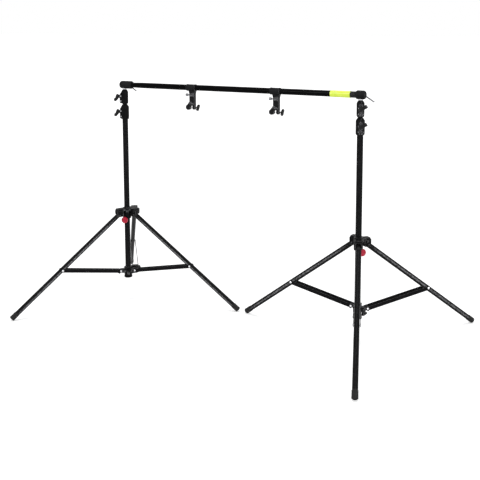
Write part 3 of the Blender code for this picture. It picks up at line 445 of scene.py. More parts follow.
def rod(radius, high, low, place=Matrix(), sides=24, ease=0.0, shape=None):
    """A round rod about local Z, also for boring a hole."""
    line = [(0.0, high), (radius, high), (radius, low), (0.0, low)]
    return turned(line, ease, place, sides, shape=shape)


def as_object(shape, name):
    mesh = bpy.data.meshes.new(name)
    shape.to_mesh(mesh)
    shape.free()
    obj = bpy.data.objects.new(name, mesh)
    bpy.context.scene.collection.objects.link(obj)
    return obj


def fused(shapes, cuts=()):
    """Joins shapes into one closed form and cuts others out of it."""
    body = as_object(shapes[0], "body")
    tools = []
    for operation, group in (("UNION", shapes[1:]), ("DIFFERENCE", cuts)):
        for shape in group:
            tool = as_object(shape, "tool")
            tools.append(tool)
            join = body.modifiers.new(operation.title(), "BOOLEAN")
            join.operation = operation
            join.solver = "EXACT"
            join.object = tool
    result = bmesh.new()
    mesh = plain_mesh(body)
    result.from_mesh(mesh)
    bpy.data.meshes.remove(mesh)
    for obj in [body] + tools:
        bpy.data.objects.remove(obj, do_unlink=True)
    bmesh.ops.remove_doubles(result, verts=result.verts, dist=0.000005)
    return result


def arc(centre, radius, start, end, count):
    """Points along an arc, ends included; angles in degrees."""
    points = []
    for index in range(count + 1):
        turn = math.radians(start + (end - start) * index / count)
        points.append((centre[0] + radius * math.cos(turn), centre[1] + radius * math.sin(turn)))
    return points


def claws(bottoms, slopes):
    """Both stacking claws: fins that end in two horns, and the mouths and pockets to cut out.

    A slope is how much of the height a claw's outer end loses.
    """
    fins = []
    cuts = []
    for (angle, reach, height), bottom, slope in zip(claw_sizes, bottoms, slopes):
        turn = about_z(angle)
        side_view = [
            (claw_root, bottom),
            (reach - 0.010, bottom + height * slope * 0.2),
            (reach, bottom + height * slope),
            (reach, bottom + height * (1.0 - slope * 0.4)),
            (claw_root + 0.010, bottom + height),
            (claw_root, bottom + height),
        ]
        side_view = soften(side_view, 0.003, closed=True)
        fins.append(plate(side_view, 2.0 * claw_half_width, turn @ UPRIGHT, 0.0012))
        mouth_place = turn @ Matrix.Translation((reach + 0.003, 0.0, 0.0))
        cuts.append(rod(claw_mouth_radius, bottom + height + 0.01, bottom - 0.01, mouth_place))
        for flank in (-1.0, 1.0):
            face = flank * claw_half_width
            low = (claw_root + 0.008, face - claw_pocket, bottom + height * 0.28)
            high = (reach - 0.012, face + claw_pocket, bottom + height * 0.74)
            cuts.append(block(low, high, turn, 0.0004))
    return fins, cuts


def cast_paint(name, dark, pale, rough, wear=0.7):
    """Black paint on a casting: a fine orange-peel grain, faint dust, and bare metal at edges."""
    material, tree, shader, made = finish_start(name, 0.0, specular=0.03)
    grain = noise(tree, made, 1300.0, 3.0)
    cloud = noise(tree, made, 55.0)
    dust = spread(tree, noise(tree, made, 190.0, 4.0), 0.55, 0.80, 0.0, 0.35)
    colour = mixed(tree, spread(tree, cloud), dark, pale)
    colour = mixed(tree, dust, colour, (0.020, 0.020, 0.020))
    colour = worn(tree, made, 330.0, wear, colour, (0.24, 0.24, 0.25))
    finish_end(tree, shader, colour, cloud, rough, grain, 0.00002, 0.6)
    return material


cast_dark = (0.0035, 0.0035, 0.0040)
cast_pale = (0.0085, 0.0085, 0.0092)
cast_black = cast_paint("black_cast_paint", cast_dark, cast_pale, (0.28, 0.42)), "black_casting"
for side in SIDES:
    sleeve_line = [
        (0.0, lower_sleeve_top),
        (sleeve_radius, lower_sleeve_top),
        (sleeve_radius, lower_sleeve_top - 0.0080),
        (sleeve_waist, lower_sleeve_top - 0.0090),
        (sleeve_waist, lower_sleeve_bottom + 0.0090),
        (sleeve_radius, lower_sleeve_bottom + 0.0080),
        (sleeve_radius, lower_sleeve_bottom + 0.0018),
        (sleeve_radius - 0.0018, lower_sleeve_bottom),
        (0.0130, lower_sleeve_bottom),
        (0.0120, lower_sleeve_bottom + 0.0008),
        (0.0, lower_sleeve_bottom + 0.0008),
    ]
    joined = [turned(sleeve_line, 0.0006)]
    removed = []
    for letter, (_, out, _) in leg_seats.items():
        seat = leg_plane(letter)
        low = (-out + 0.006, -tongue_half, tongue_low)
        high = (0.0080, tongue_half, tongue_high)
        joined.append(block(low, high, seat, 0.0010, 0.0022))
        mouth = arc((0.0, brace_pivot_height), brace_mouth_radius, 0, 180, 12) + [
            (-0.0125, tongue_low - 0.004),
            (brace_mouth_radius - 0.0005, tongue_low - 0.004),
        ]
        mouth = soften(mouth, 0.0004, closed=True, cuts=1)
        removed.append(plate(mouth, 2 * tongue_half + 0.004, seat @ UPRIGHT, 0.0001, 1))
        low = (-0.0120, -tongue_half + tongue_rim, tongue_high - tongue_hollow)
        high = (0.0040, tongue_half - tongue_rim, tongue_high + 0.004)
        removed.append(block(low, high, seat, 0.0004))
    fins, cuts = claws([lower_claw_bottom] * 2, (0.30, 0.55))
    removed += cuts
    removed.append(rod(sleeve_bore, lower_sleeve_top + 0.01, column_bottom - gap, sides=48))
    hand_over(
        f"{side}_foot_casting", fused(joined + fins, removed), stand_place[side], cast_black,
        f"{side}_base", f"{side}_lower_casting",
    )

# Upper castings. A black die-cast sleeve slides on the column under a flat roof. Three forks
# below the roof hold the legs on steel pins, and two claws stack it on another stand.
leg_pivot_height = 0.4090
leg_radius = 0.0110
roof_bottom = leg_pivot_height + 0.0190
roof_top = roof_bottom + 0.0110
upper_sleeve_bottom = leg_pivot_height - 0.0200
upper_sleeve_top = roof_top + 0.0020
upper_claw_top = roof_top - 0.0020
cheek_inner = leg_radius + 0.0004
cheek_outer = cheek_inner + 0.0042
cheek_bottom = leg_pivot_height - 0.0080
cheek_reach = 0.0145
roof_reach = cheek_reach - 0.0060
roof_rib_half = 0.0022
release_height = leg_pivot_height - 0.0247
release_turn = math.radians(154.0)
release_boss_reach = 0.0245
release_boss_half = 0.0085
screw_radius = 0.0032
screw_bore = screw_radius + gap


def tree_start(name, *sizes, whole=()):
    """A Geometry Nodes tree and its inputs: the points and its named sizes."""
    tree = bpy.data.node_groups.new(name, "GeometryNodeTree")
    for label, way, kind in (
        ("Points", "INPUT", "NodeSocketGeometry"),
        ("Result", "OUTPUT", "NodeSocketGeometry"),
        *((label, "INPUT", "NodeSocketInt") for label in whole),
        *((label, "INPUT", "NodeSocketFloat") for label in sizes),
    ):
        tree.interface.new_socket(name=label, in_out=way, socket_type=kind)
    return tree, tree.nodes.new("NodeGroupInput").outputs


def on_points(tree, points, instance, way=None, axis="Z"):
    """Puts an instance on each point, with an axis along a way or along the way it faces."""
    if way is None:
        attribute = "GeometryNodeInputNamedAttribute"
        way = step(tree, attribute, {"Name": "facing"}, data_type="FLOAT_VECTOR")
    turn = step(tree, "FunctionNodeAlignRotationToVector", {"Vector": way}, axis=axis)
    values = {"Points": points, "Instance": instance, "Rotation": turn}
    return step(tree, "GeometryNodeInstanceOnPoints", values)


def tree_end(tree, geometry, finish):
    """Ends a tree by making its instances real and giving them their material."""
    real = step(tree, "GeometryNodeRealizeInstances", {0: geometry})
    values = {"Geometry": real, "Material": finish[0]}
    step(tree, "NodeGroupOutput", {0: step(tree, "GeometryNodeSetMaterial", values)})


def grown(tree, spots, **sizes):
    """Runs a tree over spots, each a place and the way it faces, and gives a shape."""
    mesh = bpy.data.meshes.new("spots")
    mesh.from_pydata([tuple(place) for place, _ in spots], [], [])
    way = mesh.attributes.new("facing", "FLOAT_VECTOR", "POINT")
    for index, (_, facing) in enumerate(spots):
        way.data[index].vector = facing
    obj = bpy.data.objects.new("spots", mesh)
    bpy.context.scene.collection.objects.link(obj)
    growth = obj.modifiers.new("Growth", "NODES")
    growth.node_group = tree
    for socket in tree.interface.items_tree:
        label = socket.name.lower().replace(" ", "_")
        if socket.in_out == "INPUT" and label in sizes:
            growth[socket.identifier] = sizes[label]
    shape = bmesh.new()
    result = plain_mesh(obj)
    shape.from_mesh(result)
    bpy.data.meshes.remove(result)
    bpy.data.objects.remove(obj, do_unlink=True)
    return shape


def zinc(name, pale, dark, rough):
    """Plated steel: a cloudy plating with fine turning marks."""
    material, tree, shader, made = finish_start(name, 1.0)
    cloud = noise(tree, made, 240.0, 3.0)
    marks = noise(tree, made, (500.0, 500.0, 3200.0))
    colour = mixed(tree, spread(tree, cloud), dark, pale)
    finish_end(tree, shader, colour, marks, rough, marks, 0.00003, 0.5)
    return material


zinc_steel, dull_steel, black_steel = [
    (zinc(name, pale, dark, rough), "zinc_steel")
    for name, pale, dark, rough in (
        ("zinc_plated_steel", (0.72, 0.72, 0.74), (0.48, 0.48, 0.50), (0.24, 0.42)),
        ("dull_steel", (0.26, 0.26, 0.27), (0.17, 0.17, 0.18), (0.30, 0.46)),
        ("black_steel", (0.050, 0.050, 0.053), (0.024, 0.024, 0.026), (0.28, 0.44)),
    )
]
rivet_tree, rivet_sizes = tree_start("rivet_heads", "Head radius", "Head height")
dome_radius = rivet_sizes["Head radius"]
dome_size = step(
    rivet_tree,
    "ShaderNodeCombineXYZ",
    {"X": dome_radius, "Y": dome_radius, "Z": rivet_sizes["Head height"]},
)
dome = step(rivet_tree, "GeometryNodeMeshUVSphere", {"Segments": 24, "Rings": 12, "Radius": 1.0})
dome = step(rivet_tree, "GeometryNodeTransform", {"Geometry": dome, "Scale": dome_size})
tree_end(rivet_tree, on_points(rivet_tree, rivet_sizes[0], dome), zinc_steel)


def headed_pins(places, half_length, pin_radius, head_radius, head_height):
    """Steel pins along Y of each place, with a domed head at both ends."""
    spots = []
    for place in places:
        for end in (-1.0, 1.0):
            spot = place @ Vector((0.0, end * half_length, 0.0))
            spots.append((spot, place.to_3x3() @ Vector((0.0, end, 0.0))))
    shape = grown(rivet_tree, spots, head_radius=head_radius, head_height=head_height)
    for place in places:
        rod(pin_radius, half_length, -half_length, place @ UPRIGHT, 20, shape=shape)
    return shape


roof_outline = []
for letter in leg_seats:
    for out, aside in (
        (-0.012, -cheek_outer),
        (roof_reach - 0.004, -cheek_outer),
        (roof_reach, -cheek_outer + 0.004),
        (roof_reach, cheek_outer - 0.004),
        (roof_reach - 0.004, cheek_outer),
        (-0.012, cheek_outer),
    ):
        corner = leg_plane(letter) @ Vector((out, aside, 0.0))
        roof_outline.append((corner.x, corner.y))
roof_outline = soften(roof_outline, 0.0030, closed=True)
for side in SIDES:
    sleeve_line = [
        (0.0, upper_sleeve_top),
        (sleeve_radius - 0.0006, upper_sleeve_top),
        (sleeve_radius, upper_sleeve_top - 0.0010),
        (sleeve_radius, upper_sleeve_bottom + 0.0060),
        (sleeve_radius - 0.0010, upper_sleeve_bottom),
        (0.0, upper_sleeve_bottom),
    ]
    roof_place = up((roof_bottom + roof_top) / 2.0)
    joined = [
        turned(sleeve_line, 0.0006),
        plate(roof_outline, roof_top - roof_bottom, roof_place, 0.0015),
    ]
    removed = []
    for letter, (_, out, _) in leg_seats.items():
        seat = leg_plane(letter)
        fork_root = max(0.016, out - 0.012) - out - 0.004
        fork_outline = [
            (fork_root, cheek_bottom),
            (0.0035, cheek_bottom),
            (cheek_reach - 0.0035, cheek_bottom + 0.0150),
            (cheek_reach - 0.0035, roof_top - 0.0080),
            (cheek_reach - 0.0085, roof_top - 0.0020),
            (fork_root, roof_top - 0.0020),
        ]
        fork_outline = soften(fork_outline, 0.0018, closed=True, cuts=5)
        fork_width = 2.0 * (cheek_outer - 0.0007)
        joined.append(plate(fork_outline, fork_width, seat @ UPRIGHT, 0.0012))
        low = (-leg_radius - 0.0018, -cheek_inner, cheek_bottom - 0.02)
        high = (cheek_reach + 0.05, cheek_inner, roof_bottom + 0.0007)
        removed.append(block(low, high, seat, 0.0006, 0.0010))
        low = (-out + 0.0150, -roof_rib_half, roof_top - 0.0030)
        high = (roof_reach - 0.0040, roof_rib_half, roof_top + 0.0012)
        joined.append(block(low, high, seat, 0.0005, 0.0010))
    low = (0.0110, -release_boss_half, release_height - release_boss_half)
    high = (release_boss_reach, release_boss_half, upper_sleeve_bottom + 0.0060)
    joined.append(block(low, high, about_z(release_turn), 0.0012, 0.0025))
    fins, cuts = claws([upper_claw_top - height for _, _, height in claw_sizes], (0.30, 0.45))
    removed += cuts
    removed.append(rod(sleeve_bore, upper_sleeve_top + 0.01, release_height - 0.02, sides=48))
    screw_place = up(release_height) @ about_z(release_turn) @ ALONG_X
    removed.append(rod(screw_bore, 0.040, 0.005, screw_place))
    hand_over(
        f"{side}_leg_casting", fused(joined + fins, removed), stand_place[side], cast_black,
        f"{side}_collar", f"{side}_upper_casting",
    )
    pin_places = [leg_plane(letter) @ up(leg_pivot_height) for letter in leg_seats]
    pins = headed_pins(pin_places, cheek_outer - 0.0008, 0.0030, 0.0040, 0.0012)
    hand_over(f"{side}_leg_pins", pins, stand_place[side], black_steel, f"{side}_collar")

# Release knobs. A round, fluted crimson knob of glossy moulded plastic sits on the boss below the
# forks, on the end of a steel screw that clamps the upper casting on the column.
release_radius = 0.0155
release_thickness = 0.0095
release_grip = release_thickness - 0.0012
release_face = release_boss_reach + gap
release_top = release_face + release_thickness
release_flutes = 12
flute_points = 8 * release_flutes
flute_depth = 0.0011


def moulded(name, dark, pale, rough, coat=0.0):
    """Moulded plastic: a fine mould grain, slight flow clouds and paler rubbed edges."""
    material, tree, shader, made = finish_start(name, 0.0, specular=0.12, coat=coat)
    cloud = noise(tree, made, 70.0)
    fine = noise(tree, made, 900.0)
    rubbed = tuple(min(1.0, value * 1.8 + 0.03) for value in pale)
    colour = mixed(tree, spread(tree, cloud), dark, pale)
    colour = worn(tree, made, 500.0, 0.6, colour, rubbed)
    finish_end(tree, shader, colour, fine, rough, fine, 0.00003, 0.5)
    return material


crimson_dark = (0.33, 0.005, 0.022)
crimson_pale = (0.46, 0.009, 0.038)
crimson = moulded("crimson_plastic", crimson_dark, crimson_pale, (0.20, 0.32), 0.25)
for side in SIDES:
    release_place = stand_place[side] @ up(release_height) @ about_z(release_turn) @ ALONG_X
    rim = []
    for index in range(flute_points):
        turn = 2.0 * math.pi * index / flute_points
        flute = flute_depth * (0.5 - 0.5 * math.cos(release_flutes * turn)) ** 2
        reach = release_radius - flute
        rim.append((reach * math.cos(turn), reach * math.sin(turn)))
    grip = plate(rim, release_grip, up(release_face + release_grip / 2.0), 0.0022, 4)
    cap_line = [
        (0.0, release_top - 0.0006),
        (0.0062, release_top - 0.0006),
        (0.0074, release_top),
        (0.0092, release_top),
        (0.0108, release_top - 0.0030),
        (0.0, release_top - 0.0030),
    ]
    hand_over(
        f"{side}_crimson_knob", fused([grip, turned(cap_line, 0.0006)]), release_place,
        (crimson, "crimson_plastic"), f"{side}_release", f"{side}_release_knob",
    )
    screw = rod(screw_radius, release_face + 0.001, column_radius + gap, ease=0.0005)
    hand_over(f"{side}_release_screw", screw, release_place, zinc_steel, f"{side}_release")

# Legs. Each is a 22 mm black anodised tube with a rounded plastic plug in its top, where it turns
# on the fork's pin, and a hole for the brace's rivet.
leg_reach = 0.5345
leg_end_height = 0.0125
leg_wall = 0.0014
leg_drop = leg_pivot_height - leg_end_height
leg_length = math.hypot(leg_reach, leg_drop)
leg_lean = math.atan2(leg_reach, leg_drop)
leg_hole_radius = 0.0034
joint_share = 0.548
joint_distance = leg_length * joint_share
leg_tube_end = leg_length - 0.0060
plug_length = 0.0125
plug_neck = leg_radius - leg_wall - 0.0002
plastic_dark = (0.0055, 0.0055, 0.0060)
plastic_pale = (0.011, 0.011, 0.012)
plastic_black = (
    moulded("black_plastic", plastic_dark, plastic_pale, (0.28, 0.42)), "black_plastic"
)


def leg_place(side, letter):
    """The place of a leg, whose tube hangs along local -Z from its hinge."""
    hinge = leg_plane(letter) @ up(leg_pivot_height)
    return stand_place[side] @ hinge @ Matrix.Rotation(-leg_lean, 4, "Y")


def leg_hole(height):
    """A rod along Y at a height, for cutting a pin's hole."""
    return rod(leg_hole_radius, 0.02, -0.02, up(height) @ UPRIGHT, 20)


for side in SIDES:
    for letter in leg_seats:
        leg = tube(leg_radius, leg_radius - leg_wall, -leg_tube_end, -plug_length)
        hand_over(
            f"{side}_leg_tube_{letter}", fused([leg], [leg_hole(-joint_distance)]),
            leg_place(side, letter), black_tube, f"{side}_leg_{letter}", f"{side}_leg_{letter}",
        )
        plug_line = [(0.0, leg_radius)]
        for index in range(1, 11):
            turn = math.radians(9.0 * index)
            plug_line.append((leg_radius * math.sin(turn), leg_radius * math.cos(turn)))
        plug_line += [
            (leg_radius, -plug_length + 0.0022),
            (leg_radius - 0.0006, -plug_length + 0.0016),
            (leg_radius - 0.0006, -plug_length + gap),
            (plug_neck, -plug_length + gap),
            (plug_neck, -plug_length - 0.0120),
            (0.0, -plug_length - 0.0120),
        ]
        hand_over(
            f"{side}_leg_plug_{letter}", fused([turned(plug_line)], [leg_hole(0.0)]),
            leg_place(side, letter), plastic_black, f"{side}_leg_{letter}",
        )

# Feet. A moulded black rubber cap is pushed over the end of each leg. It has raised grip rings
# round its side and a chamfered sole.
foot_top = -leg_length + 0.0320
foot_radius = leg_radius + 0.0013
foot_bore = leg_radius + 0.0002
foot_ring_count = 4
foot_ring_spacing = 0.0050


def rubber(name, dark, dusty):
    """Matt black rubber: a soft mottled grain with grey dust, scuffed at the edges."""
    material, tree, shader, made = finish_start(name, 0.0, specular=0.3)
    grain = noise(tree, made, 700.0, 4.0)
    dust = spread(tree, noise(tree, made, 120.0, 3.0), 0.45, 0.75, 0.0, 0.6)
    colour = mixed(tree, dust, dark, dusty)
    colour = worn(tree, made, 260.0, 0.8, colour, (0.070, 0.070, 0.068))
    finish_end(tree, shader, colour, grain, (0.68, 0.9), grain, 0.00012, 0.7)
    return material


rubber_black = rubber("black_rubber", (0.0060, 0.0060, 0.0060), (0.014, 0.014, 0.0135))
foot_line = [
    (0.0, -leg_tube_end - gap),
    (foot_bore, -leg_tube_end - gap),
    (foot_bore, foot_top),
    (foot_radius, foot_top),
    (foot_radius, foot_top - 0.0030),
]
for index in range(foot_ring_count):
    ring_top = foot_top - 0.0042 - index * foot_ring_spacing
    foot_line += [
        (foot_radius - 0.0006, ring_top),
        (foot_radius - 0.0006, ring_top - 0.0014),
        (foot_radius, ring_top - 0.0022),
        (foot_radius, ring_top - 0.0036),
    ]
foot_line += [
    (foot_radius, -leg_length + 0.0030),
    (foot_radius - 0.0030, -leg_length),
    (foot_radius - 0.0060, -leg_length),
    (foot_radius - 0.0066, -leg_length + 0.0010),
    (0.0, -leg_length + 0.0010),
]
for side in SIDES:
    for letter in leg_seats:
        hand_over(
            f"{side}_rubber_foot_{letter}", turned(foot_line, 0.0004, cuts=2),
            leg_place(side, letter), (rubber_black, "black_rubber"),
            f"{side}_leg_{letter}", f"{side}_foot_{letter}",
        )

# Braces. Two flat steel bars, painted black, run from each leg to the lower casting, one on each
# side of the leg. A domed steel rivet at each end holds the pair.
strap_round = 0.0080
strap_thickness = 0.0022
strap_offset = 0.0123
joint_out = leg_reach * joint_share
joint_height = leg_pivot_height - leg_drop * joint_share
brace_length = math.hypot(joint_out, joint_height - brace_pivot_height)
brace_lean = math.atan2(joint_out, joint_height - brace_pivot_height)
strap_dark = (0.0040, 0.0040, 0.0045)
strap_pale = (0.0075, 0.0075, 0.0085)
strap_black = (
    cast_paint("black_strap_paint", strap_dark, strap_pale, (0.24, 0.36), 0.9), "black_strap"
)
strap_outline = arc((0.0, 0.0), strap_round, 0, 180, 16)
strap_outline += arc((0.0, -brace_length), strap_round, 180, 360, 16)
for side in SIDES:
    for letter, (angle, out, aside) in leg_seats.items():
        joint = Matrix.Translation((out + joint_out, aside, joint_height))
        brace_turn = Matrix.Rotation(brace_lean, 4, "Y")
        brace_place = stand_place[side] @ about_z(angle) @ joint @ brace_turn
        straps = bmesh.new()
        for flank in (-1.0, 1.0):
            middle = flank * (strap_offset + strap_thickness / 2.0)
            strap_place = Matrix.Translation((0.0, middle, 0.0)) @ UPRIGHT
            plate(strap_outline, strap_thickness, strap_place, 0.0006, shape=straps)
        hand_over(
            f"{side}_brace_straps_{letter}", straps, brace_place, strap_black,
            f"{side}_brace_{letter}", f"{side}_brace_{letter}",
        )
        ends = [Matrix(), up(-brace_length)]
        rivets = headed_pins(ends, strap_offset + strap_thickness, 0.0030, 0.0052, 0.0016)
        hand_over(
            f"{side}_brace_rivets_{letter}", rivets, brace_place, zinc_steel,
            f"{side}_brace_{letter}",
        )

# Lock collars. A split black casting sits on the end of one tube and clamps the thinner one that
# slides in it. Its ear takes the wing knob's screw, and socket screws hold the ear together.
lock_angle = {"left": math.radians(80.3), "right": math.radians(124.3)}
riser_lower_radius = 0.0105
riser_upper_radius = 0.0082
bar_height = 1.0200
head_radius = 0.0180
riser_upper_top = bar_height - head_radius - 0.0030
lock_lower_height = 0.0680
lock_upper_height = 0.0660
lock_upper_top = riser_upper_top - 0.0015
lock_upper_bottom = lock_upper_top - lock_upper_height
lock_lower_top = lock_upper_bottom - 0.0040
lock_lower_bottom = lock_lower_top - lock_lower_height
riser_lower_top = lock_upper_top - 0.0240
lock_wall = 0.0055
lock_lip = 0.0018
lock_shoulder = 0.0095
lock_chamfer = 0.0050
lock_groove = 0.0008
lock_boss_reach = 0.0232
lock_boss_width = 0.0200
lock_boss_top = 0.0150
lock_boss_face = 0.0240
lock_knob_share = 0.52
slit_half = 0.0008


def lock_collar(bottom, top, tube_radius, tube_top, riser_radius):
    """A collar with its ear, bored for both tubes and the wing's screw, and split by a slit."""
    outer = tube_radius + lock_wall
    lip = riser_radius + lock_lip
    shoulder = bottom + lock_chamfer
    body_line = [
        (0.0, top),
        (lip, top),
        (lip + 0.0008, top - 0.0012),
        (outer, top - lock_shoulder),
        (outer, shoulder + 0.0040),
        (outer - lock_groove, shoulder + 0.0032),
        (outer - lock_groove, shoulder + 0.0016),
        (outer, shoulder + 0.0008),
        (outer, shoulder),
        (outer - lock_chamfer / 2.0, bottom),
        (0.0, bottom),
    ]
    ear_outline = [
        (0.0, bottom + lock_chamfer / 2.0),
        (outer, bottom + lock_chamfer / 2.0),
        (lock_boss_reach, shoulder),
        (lock_boss_reach, top - lock_boss_face),
        (outer + lock_chamfer / 2.0, top - lock_boss_top),
        (lip, top - lock_shoulder / 2.0),
        (0.0, top - lock_shoulder / 2.0),
    ]
    ear_outline = soften(ear_outline, 0.0025, closed=True, cuts=4)
    knob_height = bottom + lock_knob_share * (top - bottom)
    slit_low = (0.004, -slit_half, bottom - 0.01)
    slit_high = (0.05, slit_half, top + 0.01)
    return fused(
        [
            turned(body_line, 0.0012, about_z(math.radians(3.0))),
            plate(ear_outline, lock_boss_width, UPRIGHT, 0.0022, 4),
        ],
        [
            rod(tube_radius + gap, tube_top + gap, bottom - 0.01, sides=48),
            rod(riser_radius + gap, top + 0.01, bottom - 0.01, sides=48),
            rod(screw_bore, 0.05, 0.006, up(knob_height) @ ALONG_X),
            block(slit_low, slit_high, Matrix(), 0.0001, 0.0002),
        ],
    )


socket_tree, socket_sizes = tree_start("socket_screws", "Head radius", "Head height")
cap_radius = socket_sizes["Head radius"]
cap_height = socket_sizes["Head height"]
key_radius = step(socket_tree, "ShaderNodeMath", {0: cap_radius, 1: 0.55}, operation="MULTIPLY")
cap, key = [
    step(
        socket_tree,
        "GeometryNodeMeshCylinder",
        {"Vertices": corners, "Radius": radius, "Depth": cap_height},
    )
    for corners, radius in ((24, cap_radius), (6, key_radius))
]
key_lift = step(socket_tree, "ShaderNodeCombineXYZ", {"X": 0.0, "Y": 0.0, "Z": cap_height})
key_lift = step(socket_tree, "ShaderNodeVectorMath", {0: key_lift, "Scale": 0.4}, operation="SCALE")
key = step(socket_tree, "GeometryNodeTransform", {"Geometry": key, "Translation": key_lift})
cap = step(socket_tree, "GeometryNodeMeshBoolean", {0: cap, 1: key}, operation="DIFFERENCE")
tree_end(socket_tree, on_points(socket_tree, socket_sizes[0], cap), zinc_steel)
for side in SIDES:
    lock_place = stand_place[side] @ about_z(lock_angle[side])
    for level, body, bottom, top, tube_radius, tube_top, riser_radius in (
        (
            "lower", f"{side}_base", lock_lower_bottom, lock_lower_top,
            column_radius, column_top, riser_lower_radius,
        ),
        (
            "upper", f"{side}_riser_1", lock_upper_bottom, lock_upper_top,
            riser_lower_radius, riser_lower_top, riser_upper_radius,
        ),
    ):
        collar = lock_collar(bottom, top, tube_radius, tube_top, riser_radius)
        hand_over(
            f"{side}_{level}_lock", collar, lock_place, cast_black,
            body, f"{side}_lock_collar_{level}",
        )
        spots = []
        for flank in (-1.0, 1.0):
            for height in (bottom + 0.0130, top - 0.0300):
                spot = (lock_boss_reach - 0.0050, flank * lock_boss_width / 2.0, height)
                spots.append((spot, (0.0, flank, 0.0)))
        screws = grown(socket_tree, spots, head_radius=0.0028, head_height=0.0020)
        hand_over(f"{side}_{level}_lock_screws", screws, lock_place, zinc_steel, body)

# Wing knobs. The moulded black wing that tightens each lock has a short heel on one side of its
# screw and a long swept tip on the other, on a tapered hub with a steel screw through it.
knob_stem_length = 0.0070
knob_stem_radius = screw_radius + 0.0048
wing_heel = 0.0110
wing_tip = 0.0245
wing_thickness = 0.0140
wing_hub_depth = 0.0140
wing_tip_depth = 0.0140
wing_sweep = 0.0100
wing_tilt = {"left": math.radians(-33.0), "right": math.radians(125.0)}


def wing_knob(seat):
    """The wing and its hub, with the screw's axis along local +X and the tip pointing down."""
    stem_end = seat + knob_stem_length
    hub_line = [
        (0.0, stem_end),
        (screw_radius + 0.0034, stem_end),
        (knob_stem_radius, seat + 0.0016),
        (knob_stem_radius, seat + gap),
        (0.0, seat + gap),
    ]
    back = stem_end - 0.002
    heel_round = wing_hub_depth * 0.40
    tip_round = wing_tip_depth / 2.0
    tip_middle = (back + wing_tip_depth / 2.0 + wing_sweep, -wing_tip + tip_round)
    outline = arc((back + heel_round, wing_heel - heel_round), heel_round, 180, 60, 8)
    outline += [
        (back + wing_hub_depth * 0.92, wing_heel * 0.45),
        (back + wing_hub_depth * 1.08, -wing_tip * 0.12),
        (back + wing_hub_depth + wing_sweep * 0.45, -wing_tip * 0.50),
    ]
    outline += arc(tip_middle, tip_round, 20, -160, 12)
    outline += [(back + wing_sweep * 0.30, -wing_tip * 0.50), (back, -wing_tip * 0.20)]
    outline = soften(outline, 0.0050, closed=True, cuts=5)
    wing = plate(outline, wing_thickness, UPRIGHT, 0.0024, 5)
    return fused([turned(hub_line, 0.0005, ALONG_X, 32), wing])


for side in SIDES:
    for level, number, bottom, height, tube_radius in (
        ("lower", 1, lock_lower_bottom, lock_lower_height, column_radius),
        ("upper", 2, lock_upper_bottom, lock_upper_height, riser_lower_radius),
    ):
        knob_place = (
            stand_place[side]
            @ up(bottom + lock_knob_share * height)
            @ about_z(lock_angle[side])
            @ Matrix.Rotation(wing_tilt[side], 4, "X")
        )
        body = f"{side}_lock_knob_{number}"
        hand_over(
            f"{side}_{level}_wing", wing_knob(lock_boss_reach), knob_place, plastic_black,
            body, f"{side}_knob_{level}",
        )
        screw = rod(screw_radius, lock_boss_reach + 0.0010, tube_radius + gap, ease=0.0005)
        hand_over(f"{side}_{level}_wing_screw", screw, knob_place @ ALONG_X, zinc_steel, body)

# Risers and spigots. Two thinner black tubes telescope out of the column, each with a guide bush
# on its lower end. A turned steel spigot is plugged into the top of the upper one.
riser_lower_wall = 0.0013
riser_upper_wall = 0.0012
riser_lower_bottom = 0.1500
riser_upper_bottom = 0.1700
bush_length = 0.0300
spigot_radius = 0.0080
spigot_groove = spigot_radius - 0.0012
spigot_flange = spigot_radius + 0.0012
flange_top = bar_height - head_radius - gap
stud_base = riser_upper_top + gap
stud_top = bar_height + 0.0090
stud_plug = riser_upper_radius - riser_upper_wall - gap
stud_line = [
    (0.0, stud_top),
    (spigot_radius - 0.0010, stud_top),
    (spigot_radius, stud_top - 0.0010),
    (spigot_radius, bar_height + 0.0030),
    (spigot_groove, bar_height + 0.0015),
    (spigot_groove, bar_height - 0.0035),
    (spigot_radius, bar_height - 0.0050),
    (spigot_radius, flange_top),
    (spigot_flange, flange_top),
    (spigot_flange, stud_base),
    (stud_plug, stud_base),
    (stud_plug, stud_base - 0.0300),
    (0.0, stud_base - 0.0300),
]
for side in SIDES:
    for level, body, radius, wall, bottom, top, bore in (
        (
            "lower", f"{side}_riser_1", riser_lower_radius, riser_lower_wall,
            riser_lower_bottom, riser_lower_top, column_radius - column_wall,
        ),
        (
            "upper", f"{side}_riser_2", riser_upper_radius, riser_upper_wall,
            riser_upper_bottom, riser_upper_top, riser_lower_radius - riser_lower_wall,
        ),
    ):
        wall_line = [
            (radius - wall, top),
            (radius, top),
            (radius, bottom + bush_length + 0.001),
            (bore - gap, bottom + bush_length),
            (bore - gap, bottom),
            (radius - wall, bottom),
        ]
        hand_over(
            f"{side}_{level}_riser", turned(wall_line, 0.0004, ring=True), stand_place[side],
            black_tube, body, f"{side}_riser_{level}",
        )
    hand_over(
        f"{side}_stud", turned(stud_line, 0.0003), stand_place[side], zinc_steel,
        f"{side}_riser_2", f"{side}_spigot",
    )

